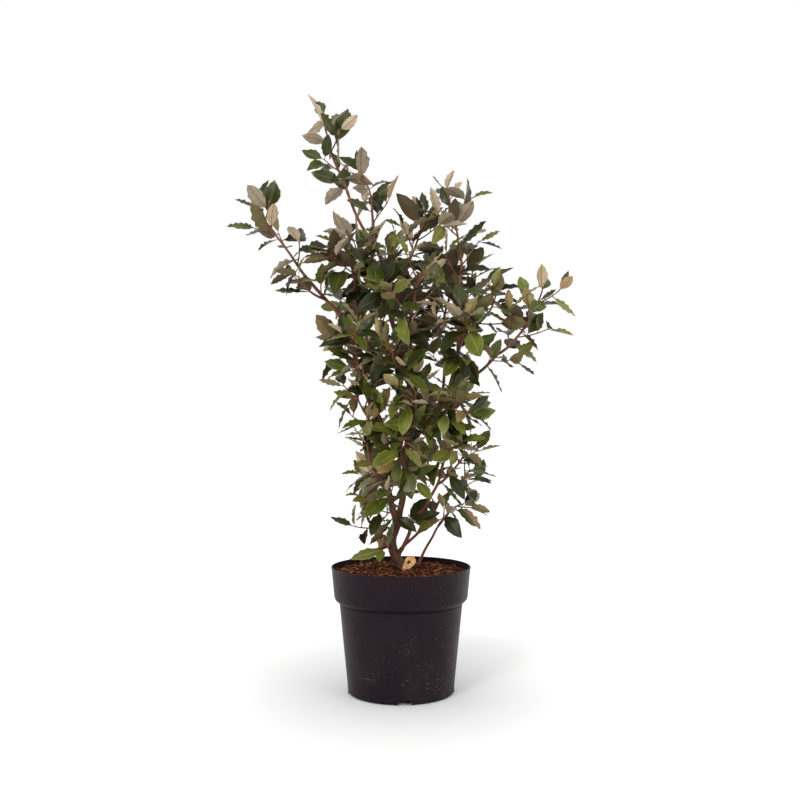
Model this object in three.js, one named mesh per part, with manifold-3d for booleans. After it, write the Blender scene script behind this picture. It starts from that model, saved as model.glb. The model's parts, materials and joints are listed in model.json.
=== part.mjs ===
// Potted silverberry: a many-stemmed evergreen shrub, nearly a metre tall with its black nursery pot.
// Millimetres, +Z up, +X to the right of the shrub's best side, which faces -Y.
// The origin is the centre of the pot's flat underside.
import * as THREE from "three";
import { mergeVertices } from "three/addons/utils/BufferGeometryUtils.js";
import Module from "manifold-3d";

const wasm = await Module();
wasm.setup();

// Driving dimensions
const GAP = 0.3; // clearance between pieces that touch
const POT_HEIGHT = 207;
const RIM_RADIUS = 115; // outside, at the lip
const COLLAR_FOOT_RADIUS = 110; // outside, where the collar ends
const COLLAR_DEPTH = 53;
const SHOULDER_DROP = 6; // height of the slope from the collar in to the body
const BODY_TOP_RADIUS = 101.5;
const BODY_FOOT_RADIUS = 88;
const FOOT_BAND = 12; // height of the upright band round the foot
const FOOT_EDGE = 3; // size of the slope round the lowest edge
const WALL = 1.6;
const LIP = 3; // height of the thicker lip
const LIP_EXTRA = 0.6; // how much thicker it is, on each side
const POT_SIDES = 36;
const CHANNELS = 4; // drainage channels across the foot
const CHANNEL_TURN = 3.7; // degrees that the front channel stands to the right of the middle
const CHANNEL_FOOT_WIDTH = 24;
const CHANNEL_TOP_WIDTH = 19;
const CHANNEL_HEIGHT = 8;
const CHANNEL_START = 52; // distance from the axis to a channel's inner end
const DRAIN_RADIUS = 4.5;
const DRAIN_PLACE = 70; // distance from the axis to a drain hole

const SOIL_EDGE = 197.5;
const SOIL_TOP = 203;
const SOIL_FLAT_RADIUS = 72; // the level middle of the mound, where the stems come up

const LIMB_STEP = 34; // length of a limb's straight pieces
const FLARE_FALL = 12; // how fast the flare of a foot dies away along a limb
const FOOT_DEPTH = 8; // how far below the soil's surface a foot is drawn before it is cut level

const LEAF_LENGTH = 64;
const LEAF_SHAPE = 0.5; // width over length
const LEAF_THICKNESS = 0.028; // thickness over length, at the middle
const WIDEST = 0.46; // where a leaf is widest, as a share of its length
const EDGE_RISE = 0.03; // how far the edges rise above the rib, over length
const TIP_DROP = 0.08; // how far the tip hangs, over length
const INTERNODE = 17; // distance from leaf to leaf along a shoot
const TIP_SHARE = 0.94; // how far along a shoot its last leaves sit
const OLD_LEAF = { spread: 62, size: 1.08, droop: 0.22 }; // degrees from the shoot, share of LEAF_LENGTH, fall
const YOUNG_LEAF = { spread: 32, size: 0.62, droop: 0 };
const SHOOT_ANGLE = 52; // degrees between a side shoot and its stem
const SHOOT_RISE = 0.25; // how far a side shoot turns up, over length
const STEM_RADIUS = [2.4, 1.3]; // of the three corners, from foot to tip
const SHOOT_RADIUS = [1, 1];
const REACH = 38; // how far past the length of its side shoots a mass keeps its leaves from its stem
const CLEARANCE = 0.4; // smallest gap from a leaf or shoot to another mass or a limb

// A limb starts on another limb, at a share of its length, or on the soil. It ends at its tip, its middle bows out by
// bow from a straight line, and its radius tapers from the first figure to the second.
const LIMBS = {
  trunk: { foot: [1, 24], tip: [-8, 22, 272], bow: [-10, 0, -2], radius: [8.8, 6.6], flare: 0.5 },
  left_leader: { on: ["trunk", 1], tip: [-33, 8, 441], bow: [-5, 0, 0], radius: [5.6, 4.8] },
  left_bough: { on: ["left_leader", 1], tip: [-97, -12, 620], bow: [-5, 0, 0], radius: [4.7, 3.2] },
  left_arm: { on: ["left_bough", 1], tip: [-159, -20, 686], bow: [2, 0, -4], radius: [3.1, 2.6] },
  inner_left_bough: { on: ["left_bough", 0.72], tip: [-74, -38, 660], bow: [8, -6, -6], radius: [2.9, 2.3] },
  centre_leader: { on: ["trunk", 0.9], tip: [2, 10, 464], bow: [13, 2, 4], radius: [5.6, 4.8] },
  tall_bough: { on: ["centre_leader", 1], tip: [-46, 5, 759], bow: [9, -2, 0], radius: [4.7, 3] },
  top_fork: { on: ["tall_bough", 0.93], tip: [-82, -8, 806], bow: [-3, -2, -4], radius: [2.6, 2.2] },
  right_bough: { on: ["centre_leader", 0.72], tip: [85, -8, 512], bow: [7, 0, -4], radius: [4, 3.4] },
  right_upright: { on: ["right_bough", 1], tip: [94, -10, 650], bow: [4, 0, -4], radius: [3, 2.5] },
  right_arm: { on: ["right_bough", 0.92], tip: [157, -25, 556], bow: [3, 0, -8], radius: [2.8, 2.3] },
  shoulder_shoot: { on: ["right_upright", 0.5], tip: [119, -20, 599], bow: [1, 0, -3], radius: [2, 1.8] },
  inner_right_bough: { on: ["tall_bough", 0.68], tip: [8, -8, 697], bow: [3, 0, -3], radius: [2.6, 2.1] },
  front_bough: { on: ["centre_leader", 0.94], tip: [11, -62, 592], bow: [6, -18, -10], radius: [3, 2.2] },
  back_right_bough: { on: ["right_bough", 0.6], tip: [67, 46, 590], bow: [8, 8, -12], radius: [2.7, 2.2] },
  back_left_bough: { on: ["left_leader", 0.85], tip: [-52, 84, 560], bow: [-2, 16, -14], radius: [3, 2.3] },
  back_bough: { on: ["centre_leader", 0.9], tip: [14, 92, 566], bow: [4, 20, -14], radius: [3, 2.3] },
  right_stem: { on: ["trunk", 0.25], tip: [18, 2, 283], bow: [3, -3, -8], radius: [3.4, 2.9] },
  right_stem_top: { on: ["right_stem", 1], tip: [66, -22, 360], bow: [4, 0, -3], radius: [2.8, 2.2] },
  low_right_stem: { on: ["trunk", 0.3], tip: [66, 34, 313], bow: [2, 4, -6], radius: [2.6, 2.1] },
  low_left_twig: { on: ["trunk", 0.4], tip: [-38, 5, 262], bow: [-2, -2, -3], radius: [2, 1.7] },
  low_front_twig: { on: ["right_stem", 0.8], tip: [-8, -26, 292], bow: [0, -3, -3], radius: [2, 1.7] },
  sucker: { foot: [30, 50], tip: [62, 38, 268], bow: [-2, 0, -2], radius: [2.5, 1.8], flare: 0.3 },
  cut_stub: { foot: [9, 0], tip: [14, -7, 221], bow: [0, 0, 0], radius: [7, 8.6], flare: 0.2 },
};
const PITH_RADIUS = 2.4; // the hollow pith in the end of the cut stub
const PITH_DEPTH = 7;

// A mass of foliage carries on from a limb. Its stem runs to tip and bows as a limb does, and bears side shoots of
// about the given length.
const MASSES = {
  left_tip: { on: ["left_arm", 1], tip: [-230, -38, 790], bow: [4, 0, -8], shoots: 4, length: 36 },
  left_shoulder: { on: ["left_arm", 0.4], tip: [-162, -64, 678], bow: [0, -4, -8], shoots: 2, length: 28 },
  inner_left: { on: ["inner_left_bough", 1], tip: [-92, -50, 728], bow: [4, 0, -2], shoots: 4, length: 40 },
  tall_tip: { on: ["top_fork", 1], tip: [-128, -14, 946], bow: [-4, 0, 0], shoots: 4, length: 32 },
  second_tip: { on: ["tall_bough", 1], tip: [-66, 8, 858], bow: [6, 0, 0], shoots: 3, length: 30 },
  crown_middle: { on: ["tall_bough", 0.62], tip: [-48, -50, 712], bow: [0, -14, -10], shoots: 4, length: 46 },
  crown_back: { on: ["tall_bough", 0.56], tip: [-26, 72, 742], bow: [0, 14, -12], shoots: 4, length: 46 },
  inner_right: { on: ["inner_right_bough", 1], tip: [40, -18, 772], bow: [-2, 0, -4], shoots: 4, length: 42 },
  right_top: { on: ["right_upright", 1], tip: [71, -12, 826], bow: [12, 0, 6], shoots: 6, length: 36 },
  upright_back: { on: ["right_upright", 0.7], tip: [122, 52, 704], bow: [0, 10, -8], shoots: 3, length: 38 },
  shoulder: { on: ["shoulder_shoot", 1], tip: [156, -34, 650], bow: [4, 0, -4], shoots: 3, length: 38 },
  right_tip: { on: ["right_arm", 1], tip: [230, -38, 658], bow: [6, 0, -8], shoots: 5, length: 44 },
  front_top: { on: ["front_bough", 1], tip: [34, -78, 684], bow: [-2, -2, 0], shoots: 4, length: 46 },
  back_right: { on: ["back_right_bough", 1], tip: [84, 74, 692], bow: [2, 6, 0], shoots: 4, length: 46 },
  back_left: { on: ["back_left_bough", 1], tip: [-72, 106, 664], bow: [0, 8, 0], shoots: 4, length: 46 },
  back_top: { on: ["back_bough", 1], tip: [14, 118, 676], bow: [0, 8, 0], shoots: 4, length: 46 },
  left_middle: { on: ["left_leader", 0.88], tip: [-74, -52, 502], bow: [-4, -6, -8], shoots: 4, length: 40 },
  middle_left: { on: ["left_bough", 0.3], tip: [-76, -64, 584], bow: [0, -8, -8], shoots: 4, length: 40 },
  left_outer: { on: ["left_bough", 0.5], tip: [-110, 8, 580], bow: [-2, 2, -4], shoots: 2, length: 28 },
  centre_front: { on: ["tall_bough", 0.15], tip: [-14, -78, 566], bow: [0, -12, -8], shoots: 4, length: 44 },
  centre_low: { on: ["centre_leader", 0.8], tip: [22, -76, 496], bow: [4, -12, -10], shoots: 4, length: 44 },
  middle_right: { on: ["right_upright", 0.35], tip: [100, -72, 604], bow: [0, -10, -8], shoots: 4, length: 40 },
  right_middle: { on: ["right_bough", 0.55], tip: [88, -60, 474], bow: [0, -10, -8], shoots: 4, length: 40 },
  back_middle: { on: ["centre_leader", 0.7], tip: [52, 84, 480], bow: [2, 10, -12], shoots: 4, length: 46 },
  back_low: { on: ["left_leader", 0.4], tip: [-34, 84, 410], bow: [-2, 10, -10], shoots: 4, length: 44 },
  low_centre: { on: ["centre_leader", 0.5], tip: [0, -56, 416], bow: [0, -10, -10], shoots: 4, length: 40 },
  left_low: { on: ["left_leader", 0.45], tip: [-56, -14, 408], bow: [-6, -2, -4], shoots: 3, length: 32 },
  right_low: { on: ["right_stem_top", 1], tip: [66, -34, 450], bow: [8, 0, 0], shoots: 4, length: 36 },
  right_side: { on: ["right_stem_top", 0.8], tip: [106, -30, 398], bow: [2, 0, -6], shoots: 2, length: 34 },
  low_right: { on: ["low_right_stem", 1], tip: [118, 42, 364], bow: [2, 2, -4], shoots: 3, length: 38 },
  low_left: { on: ["low_left_twig", 1], tip: [-62, -14, 322], bow: [-8, 0, -4], shoots: 2, length: 30 },
  low_front: { on: ["low_front_twig", 1], tip: [-26, -46, 330], bow: [0, -2, -2], shoots: 2, length: 32 },
  sucker_top: { on: ["sucker", 1], tip: [104, 30, 306], bow: [0, -2, 8], shoots: 2, length: 32 },
};

// Plain shapes

const X = new THREE.Vector3(1, 0, 0);
const Z = new THREE.Vector3(0, 0, 1);
const degrees = THREE.MathUtils.degToRad;
const mix = THREE.MathUtils.lerp;

// A seeded run of numbers from 0 to 1.
function seeded(seed) {
  let state = seed * 7919;
  const next = () => {
    state = (state * 1664525 + 1013904223) % 4294967296;
    return state / 4294967296;
  };
  for (let warmUp = 0; warmUp < 3; warmUp++) next();
  return next;
}

function solidOf(geometry) {
  geometry.deleteAttribute("normal");
  geometry.deleteAttribute("uv");
  const merged = mergeVertices(geometry, 1e-4);
  return new wasm.Manifold(
    new wasm.Mesh({
      numProp: 3,
      vertProperties: new Float32Array(merged.attributes.position.array),
      triVerts: new Uint32Array(merged.index.array),
    }),
  );
}

function meshOf(name, solid, material) {
  const mesh = solid.getMesh();
  const geometry = new THREE.BufferGeometry();
  const points = new Float32Array(mesh.numVert * 3);
  for (let v = 0; v < mesh.numVert; v++) {
    points.set(mesh.vertProperties.subarray(v * mesh.numProp, v * mesh.numProp + 3), v * 3);
  }
  geometry.setAttribute("position", new THREE.BufferAttribute(points, 3));
  geometry.setIndex(new THREE.BufferAttribute(new Uint32Array(mesh.triVerts), 1));
  geometry.computeVertexNormals();
  const made = new THREE.Mesh(geometry, material);
  made.name = name;
  return made;
}

// The largest body of a solid, without the slivers that a cut may leave.
function mainBody(solid) {
  return solid.decompose().reduce((a, b) => (a.volume() > b.volume() ? a : b));
}

function lathe(profile) {
  const points = profile.map(([radius, height]) => new THREE.Vector2(radius, height));
  const turned = new THREE.LatheGeometry(points, POT_SIDES);
  turned.rotateX(Math.PI / 2);
  return solidOf(turned);
}

// A curve from one point to another whose middle stands off the straight line by bow.
function bowed(from, to, bow) {
  const middle = from.clone().add(to).multiplyScalar(0.5).addScaledVector(bow, 2);
  return new THREE.QuadraticBezierCurve3(from, middle, to);
}

// A unit vector square to a curve, at an angle round it. The angle is counted from the same side all along the curve.
function sideways(curve, share, angle) {
  const axis = curve.getTangentAt(share);
  const chord = curve.getPoint(1).sub(curve.getPoint(0)).normalize();
  const across = new THREE.Vector3().crossVectors(axis, Math.abs(chord.z) > 0.8 ? X : Z).normalize();
  const over = new THREE.Vector3().crossVectors(axis, across);
  return across.multiplyScalar(Math.cos(angle)).addScaledVector(over, Math.sin(angle));
}

// A solid with a ring of corners at each step of a curve, closed at both ends. It reaches past them by overrun.
// The middle of its first side faces the angle 0.
function taperedTube(curve, radiusAt, sides, steps, overrun = 0) {
  const positions = [];
  const faces = [];
  for (let step = 0; step <= steps; step++) {
    const share = step / steps;
    const centre = curve.getPointAt(share);
    if (step === 0) centre.addScaledVector(curve.getTangentAt(0), -overrun);
    if (step === steps) centre.addScaledVector(curve.getTangentAt(1), overrun);
    for (let side = 0; side < sides; side++) {
      const angle = (2 * Math.PI * (side - 0.5)) / sides;
      const corner = centre.clone().addScaledVector(sideways(curve, share, angle), radiusAt(share));
      positions.push(corner.x, corner.y, corner.z);
      if (step < steps) {
        const here = step * sides + side;
        const beside = step * sides + ((side + 1) % sides);
        faces.push(here, beside, here + sides, beside, beside + sides, here + sides);
      }
    }
  }
  for (let side = 1; side < sides - 1; side++) {
    const last = steps * sides;
    faces.push(0, side + 1, side, last, last + side, last + side + 1);
  }
  const geometry = new THREE.BufferGeometry();
  geometry.setAttribute("position", new THREE.Float32BufferAttribute(positions, 3));
  geometry.setIndex(faces);
  return solidOf(geometry);
}

// The pot

const COLLAR_FOOT = POT_HEIGHT - COLLAR_DEPTH;
const SHOULDER_FOOT = COLLAR_FOOT - SHOULDER_DROP;
const CHANNEL_ANGLES = Array.from({ length: CHANNELS }, (_, n) => degrees(CHANNEL_TURN - 90 + (n * 360) / CHANNELS));

function pot() {
  const lipFoot = POT_HEIGHT - LIP;
  const lipInside = RIM_RADIUS - WALL - LIP_EXTRA;
  const shell = lathe([
    [0, 0],
    [BODY_FOOT_RADIUS - FOOT_EDGE, 0],
    [BODY_FOOT_RADIUS, FOOT_EDGE],
    [BODY_FOOT_RADIUS, FOOT_BAND],
    [BODY_TOP_RADIUS, SHOULDER_FOOT],
    [COLLAR_FOOT_RADIUS - 2, COLLAR_FOOT - 1],
    [COLLAR_FOOT_RADIUS, COLLAR_FOOT + 3],
    [RIM_RADIUS - LIP_EXTRA, lipFoot],
    [RIM_RADIUS, lipFoot + LIP_EXTRA],
    [RIM_RADIUS, POT_HEIGHT],
    [lipInside, POT_HEIGHT],
    [lipInside, lipFoot],
    [COLLAR_FOOT_RADIUS - WALL, COLLAR_FOOT + 3 + WALL],
    [BODY_TOP_RADIUS - WALL, SHOULDER_FOOT + WALL],
    [BODY_FOOT_RADIUS - WALL, FOOT_BAND],
    [BODY_FOOT_RADIUS - WALL, WALL],
    [0, WALL],
  ]);
  const covered = wasm.Manifold.union([shell, ...CHANNEL_ANGLES.map((angle) => channelCover(angle, 0))]);
  const openings = CHANNEL_ANGLES.flatMap((angle) => [channelVoid(angle), drainHole(angle)]);
  return covered.subtract(wasm.Manifold.union(openings));
}

// A bar with sloping sides that runs out along the pot's foot, wider than a channel by margin on every side.
function channelBar(angle, start, end, foot, margin) {
  const slope = (CHANNEL_FOOT_WIDTH - CHANNEL_TOP_WIDTH) / 2 / CHANNEL_HEIGHT;
  const halfFoot = CHANNEL_FOOT_WIDTH / 2 + margin - slope * foot;
  const top = CHANNEL_HEIGHT + margin;
  const halfTop = halfFoot - slope * (top - foot);
  const section = new THREE.Shape([
    new THREE.Vector2(-halfFoot, foot),
    new THREE.Vector2(halfFoot, foot),
    new THREE.Vector2(halfTop, top),
    new THREE.Vector2(-halfTop, top),
  ]);
  const bar = new THREE.ExtrudeGeometry(section, { depth: end - start, bevelEnabled: false });
  bar.rotateX(Math.PI / 2);
  bar.rotateZ(Math.PI / 2);
  bar.translate(start, 0, 0);
  bar.rotateZ(angle);
  return solidOf(bar);
}

// The walls and roof over a drainage channel, grown by margin on every side that the soil meets.
function channelCover(angle, margin) {
  const grown = WALL + margin;
  return channelBar(angle, CHANNEL_START - grown, BODY_FOOT_RADIUS - WALL / 2, WALL / 2, grown);
}

const channelVoid = (angle) => channelBar(angle, CHANNEL_START, BODY_FOOT_RADIUS + 10, -1, 0);

function drainHole(angle) {
  const hole = new THREE.CylinderGeometry(DRAIN_RADIUS, DRAIN_RADIUS, CHANNEL_HEIGHT, 12);
  hole.rotateX(Math.PI / 2);
  hole.translate(DRAIN_PLACE * Math.cos(angle), DRAIN_PLACE * Math.sin(angle), CHANNEL_HEIGHT);
  return solidOf(hole);
}

// The root ball fills the pot to a low mound.
function soil() {
  const inset = WALL + GAP;
  const rimShare = (SOIL_EDGE - COLLAR_FOOT) / COLLAR_DEPTH;
  const ball = lathe([
    [0, inset],
    [BODY_FOOT_RADIUS - inset, inset],
    [BODY_FOOT_RADIUS - inset, FOOT_BAND],
    [BODY_TOP_RADIUS - inset, SHOULDER_FOOT + inset],
    [mix(COLLAR_FOOT_RADIUS, RIM_RADIUS, rimShare) - inset - 2 * LIP_EXTRA, SOIL_EDGE],
    [mix(SOIL_FLAT_RADIUS, RIM_RADIUS, 0.5), mix(SOIL_EDGE, SOIL_TOP, 0.6)],
    [SOIL_FLAT_RADIUS, SOIL_TOP],
    [0, SOIL_TOP],
  ]);
  return ball.subtract(wasm.Manifold.union(CHANNEL_ANGLES.map((angle) => channelCover(angle, GAP))));
}

// Limbs

const curves = {};

function limbCurve(name) {
  if (!curves[name]) {
    const { foot, on, tip, bow } = LIMBS[name];
    const start = foot ? new THREE.Vector3(...foot, SOIL_TOP + GAP) : limbCurve(on[0]).getPointAt(on[1]);
    curves[name] = bowed(start, new THREE.Vector3(...tip), new THREE.Vector3(...bow));
  }
  return curves[name];
}

const sidesOf = (name) => (LIMBS[name].radius[0] > 4 ? 8 : 5);

// A limb's solid, grown by margin.
function limbTube(name, margin) {
  const { radius, flare = 0 } = LIMBS[name];
  const radiusAt = (share) => mix(...radius, share) * (1 + flare * Math.exp(-FLARE_FALL * share)) + margin;
  const curve = limbCurve(name);
  const steps = Math.max(2, Math.round(curve.getLength() / LIMB_STEP)) + (flare ? 2 : 0);
  return taperedTube(curve, radiusAt, sidesOf(name), steps, margin);
}

// A limb that stands on the soil starts below it and is cut off level.
function rootedLimb(name) {
  const curve = limbCurve(name);
  const below = curve.v0.clone().addScaledVector(curve.getTangentAt(0), -FOOT_DEPTH);
  const { radius, flare } = LIMBS[name];
  const foot = taperedTube(
    new THREE.LineCurve3(below, curve.getPointAt(0.02)),
    () => radius[0] * (1 + flare),
    sidesOf(name),
    1,
  );
  const ground = new THREE.BoxGeometry(2 * RIM_RADIUS, 2 * RIM_RADIUS, 4 * FOOT_DEPTH);
  ground.translate(0, 0, SOIL_TOP + GAP - 2 * FOOT_DEPTH);
  return limbTube(name, 0).add(foot).subtract(solidOf(ground));
}

// The hollow in the end of the cut stub.
function pith() {
  const curve = limbCurve("cut_stub");
  const top = curve.getPointAt(1);
  const inward = curve.getTangentAt(1).multiplyScalar(PITH_DEPTH);
  const line = new THREE.LineCurve3(top.clone().sub(inward), top.clone().add(inward));
  return taperedTube(line, () => PITH_RADIUS, 6, 1);
}

// Each limb in turn, cut clear of those before it.
function limbs() {
  const made = {};
  const earlier = [];
  for (const [name, { foot }] of Object.entries(LIMBS)) {
    const whole = foot ? rootedLimb(name) : limbTube(name, 0);
    made[name] = mainBody(earlier.reduce((rest, other) => rest.subtract(other), whole));
    earlier.push(limbTube(name, GAP));
  }
  made.cut_stub = made.cut_stub.subtract(pith());
  return made;
}

// Foliage

// A blade of eight faces: two fans from the middle of its upper and lower sides to four points of its outline.
function leafSolid({ root, along, up, length, width }) {
  const across = new THREE.Vector3().crossVectors(along, up);
  const point = (forward, aside, raised) =>
    root.clone().addScaledVector(along, forward).addScaledVector(across, aside).addScaledVector(up, raised);
  const corners = [
    point(0, 0, 0),
    point(length * WIDEST, width / 2, length * EDGE_RISE),
    point(length, 0, -length * TIP_DROP),
    point(length * WIDEST, -width / 2, length * EDGE_RISE),
    point(length * WIDEST, 0, (length * LEAF_THICKNESS) / 2),
    point(length * WIDEST, 0, (-length * LEAF_THICKNESS) / 2),
  ];
  const geometry = new THREE.BufferGeometry().setFromPoints(corners);
  const faces = [];
  for (let corner = 0; corner < 4; corner++) {
    const next = (corner + 1) % 4;
    faces.push(corner, next, 4, next, corner, 5);
  }
  geometry.setIndex(faces);
  return solidOf(geometry);
}

// The leaf that a shoot bears at a share of its length, on one of its three sides. A young leaf is small and upright.
// The four chances, from 0 to 1, vary its spread, length, width and roll.
function leafAt({ curve, share, youth, chances }, side, size) {
  const axis = curve.getTangentAt(share);
  const spread = degrees(mix(OLD_LEAF.spread, YOUNG_LEAF.spread, youth) + 16 * (chances[0] - 0.5));
  const length = LEAF_LENGTH * size * mix(OLD_LEAF.size, YOUNG_LEAF.size, youth) * (0.82 + 0.36 * chances[1]);
  const width = length * LEAF_SHAPE * (0.9 + 0.2 * chances[2]);
  const along = axis.clone().multiplyScalar(Math.cos(spread));
  along.addScaledVector(sideways(curve, share, degrees(side * 120)), Math.sin(spread));
  along.z -= mix(OLD_LEAF.droop, YOUNG_LEAF.droop, youth);
  along.normalize();
  const up = axis.clone().addScaledVector(Z, 0.7);
  up.addScaledVector(along, -up.dot(along)).normalize();
  up.applyAxisAngle(along, degrees(50 * (chances[3] - 0.5)));
  return { root: curve.getPointAt(share), along, up, length, width };
}

// A side shoot leaves one side of its stem at an angle and turns up as it grows.
function sideShoot(stem, share, side, length) {
  const away = stem.getTangentAt(share).multiplyScalar(Math.cos(degrees(SHOOT_ANGLE)));
  away.addScaledVector(sideways(stem, share, degrees(side * 120)), Math.sin(degrees(SHOOT_ANGLE)));
  away.addScaledVector(Z, SHOOT_RISE);
  const start = stem.getPointAt(share);
  return new THREE.LineCurve3(start, start.clone().addScaledVector(away, length));
}

// The leaves of a shoot: one at each internode from first to the end, and two more at its tip. Each sits one side on
// from the one before.
function leavesOf(curve, first, random) {
  const count = Math.max(2, Math.round((curve.getLength() * (1 - first)) / INTERNODE));
  const firstSide = Math.floor(3 * random());
  return Array.from({ length: count + 2 }, (_, n) => ({
    curve,
    share: Math.min(TIP_SHARE, mix(first, TIP_SHARE, n / count)),
    youth: n / (count + 1),
    side: firstSide + n,
    chances: [random(), random(), random(), random()],
  }));
}

// The distance from a point to a curve.
function distanceTo(curve, point) {
  return Math.min(...curve.getSpacedPoints(12).map((near) => near.distanceTo(point)));
}

// Everything that a mass may hold, in the order that it grows: its stem, then its side shoots, each with its leaves.
function plan(name) {
  const mass = MASSES[name];
  const random = seeded(1 + Object.keys(MASSES).indexOf(name));
  const start = limbCurve(mass.on[0]).getPointAt(mass.on[1]);
  const stem = bowed(start, new THREE.Vector3(...mass.tip), new THREE.Vector3(...mass.bow));
  const shoots = [{ curve: stem, radius: STEM_RADIUS, steps: 3, leaves: leavesOf(stem, 0.12, random) }];
  const firstSide = Math.floor(3 * random());
  for (let n = 0; n < mass.shoots; n++) {
    const share = mix(0.16, 0.82, n / Math.max(1, mass.shoots - 1));
    const length = mass.length * mix(1.15, 0.7, share) * (0.8 + 0.4 * random());
    const curve = sideShoot(stem, share, firstSide + n, length);
    shoots.push({ curve, radius: SHOOT_RADIUS, steps: 1, leaves: leavesOf(curve, 0.4, random) });
  }
  return shoots;
}

function shootSolid({ curve, radius, steps }) {
  return taperedTube(curve, (share) => mix(...radius, share), 3, steps);
}

// True if a piece stands clear of every solid in a list.
function isClear(piece, others) {
  const box = piece.boundingBox();
  return others.every(({ solid, bounds }) => {
    for (let axis = 0; axis < 3; axis++) {
      if (bounds.min[axis] - CLEARANCE > box.max[axis]) return true;
      if (bounds.max[axis] + CLEARANCE < box.min[axis]) return true;
    }
    return piece.minGap(solid, 2 * CLEARANCE) >= CLEARANCE;
  });
}

const withBounds = (solid) => ({ solid, bounds: solid.boundingBox() });

// Grows a mass on its stem. A side shoot that would touch anything else is left out. A leaf that would touch anything
// or reach too far tries the next side of its shoot, then a smaller size, and is left out where nothing suits it.
function foliage(name, stemSolid, others) {
  const [stem, ...sideShoots] = plan(name);
  const reach = MASSES[name].length + REACH;
  const obstacles = others.map(withBounds);
  const grown = [{ shoot: stem, solid: stemSolid }];
  for (const shoot of sideShoots) {
    const solid = shootSolid(shoot);
    if (isClear(solid, obstacles)) grown.push({ shoot, solid });
  }
  const twigs = grown.map(({ solid }) => withBounds(solid));
  const blades = [];
  grown.forEach(({ shoot }, own) => {
    const inTheWay = obstacles.concat(twigs.filter((_, n) => n !== own));
    for (const leaf of shoot.leaves) {
      for (let attempt = 0; attempt < 6; attempt++) {
        const grownLeaf = leafAt(leaf, leaf.side + attempt, attempt < 3 ? 1 : 0.75);
        const tip = grownLeaf.root.clone().addScaledVector(grownLeaf.along, grownLeaf.length);
        const blade = leafSolid(grownLeaf);
        if (distanceTo(stem.curve, tip) < reach && isClear(blade, inTheWay) && isClear(blade, blades)) {
          blades.push(withBounds(blade));
          break;
        }
      }
    }
  });
  return mainBody(wasm.Manifold.union([...twigs, ...blades].map(({ solid }) => solid)));
}

// All the masses, in turn. Their stems come first, cut clear of the limbs, so that no leaf grows across a stem.
function allFoliage(limbSolids) {
  const limbsGrown = wasm.Manifold.union(Object.keys(LIMBS).map((name) => limbTube(name, GAP)));
  const names = Object.keys(MASSES);
  const solids = {};
  for (const name of names) solids[name] = mainBody(shootSolid(plan(name)[0]).subtract(limbsGrown));
  for (const name of names) {
    const others = names.filter((other) => other !== name).map((other) => solids[other]);
    solids[name] = foliage(name, solids[name], [...Object.values(limbSolids), ...others]);
  }
  return solids;
}

// The whole plant

const finish = (color, roughness) => new THREE.MeshStandardMaterial({ color, roughness, metalness: 0 });
const black = finish(0x262224, 0.55);
const earth = finish(0x4a2413, 0.95);
const bark = finish(0x5a4335, 0.8);
const paleWood = finish(0xb08a5e, 0.85);
const leaf = finish(0x3f5a26, 0.45);

const shrub = new THREE.Group();
shrub.add(meshOf("pot", pot(), black));
shrub.add(meshOf("soil", soil(), earth));
const limbSolids = limbs();
for (const [name, solid] of Object.entries(limbSolids)) {
  shrub.add(meshOf(name, solid, name === "cut_stub" ? paleWood : bark));
}
for (const [name, solid] of Object.entries(allFoliage(limbSolids))) shrub.add(meshOf(`${name}_foliage`, solid, leaf));

export default shrub;
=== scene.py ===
"""Potted silverberry: an evergreen shrub, silvery under its leaves, in a black nursery pot.

The file is laid out as an add-on with one button for each group of pieces, and is run as a script.
Meshes are in metres. The plant is grown in millimetres and brought down by MM as its meshes are made.
"""

import json
import math
from collections import namedtuple
from functools import cache

import bpy
import numpy as np
from mathutils import Matrix, Quaternion, Vector
from mathutils.bvhtree import BVHTree

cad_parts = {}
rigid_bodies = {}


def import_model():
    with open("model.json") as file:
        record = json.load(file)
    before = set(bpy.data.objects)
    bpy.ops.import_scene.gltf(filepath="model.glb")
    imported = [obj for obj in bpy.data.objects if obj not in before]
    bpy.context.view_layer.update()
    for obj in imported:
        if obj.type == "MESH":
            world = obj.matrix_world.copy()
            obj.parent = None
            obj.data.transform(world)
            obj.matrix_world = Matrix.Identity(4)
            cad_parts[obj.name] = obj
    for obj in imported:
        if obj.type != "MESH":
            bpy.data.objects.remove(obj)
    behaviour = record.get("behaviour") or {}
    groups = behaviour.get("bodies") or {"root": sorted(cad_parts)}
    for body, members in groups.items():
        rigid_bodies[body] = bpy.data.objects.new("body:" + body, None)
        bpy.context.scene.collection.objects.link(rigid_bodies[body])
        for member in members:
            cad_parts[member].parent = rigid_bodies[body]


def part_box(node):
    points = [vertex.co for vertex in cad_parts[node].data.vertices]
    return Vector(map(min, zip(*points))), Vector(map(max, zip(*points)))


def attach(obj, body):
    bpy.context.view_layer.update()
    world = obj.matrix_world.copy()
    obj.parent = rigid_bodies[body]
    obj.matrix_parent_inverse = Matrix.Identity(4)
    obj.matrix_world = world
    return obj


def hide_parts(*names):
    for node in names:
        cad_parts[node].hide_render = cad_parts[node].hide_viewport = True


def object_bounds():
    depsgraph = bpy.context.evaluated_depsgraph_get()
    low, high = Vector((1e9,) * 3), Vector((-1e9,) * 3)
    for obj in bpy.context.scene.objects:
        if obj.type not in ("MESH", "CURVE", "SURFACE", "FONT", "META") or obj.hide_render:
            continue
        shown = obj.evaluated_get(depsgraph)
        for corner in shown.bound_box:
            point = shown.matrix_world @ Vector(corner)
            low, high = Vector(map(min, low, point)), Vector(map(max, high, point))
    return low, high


bl_info = {
    "name": "Potted Silverberry",
    "version": (1, 0, 0),
    "blender": (4, 5, 0),
    "location": "View3D > Sidebar > Silverberry",
    "description": "Builds a potted silverberry shrub from its trunk to its leaves",
    "category": "Add Mesh",
}

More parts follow.
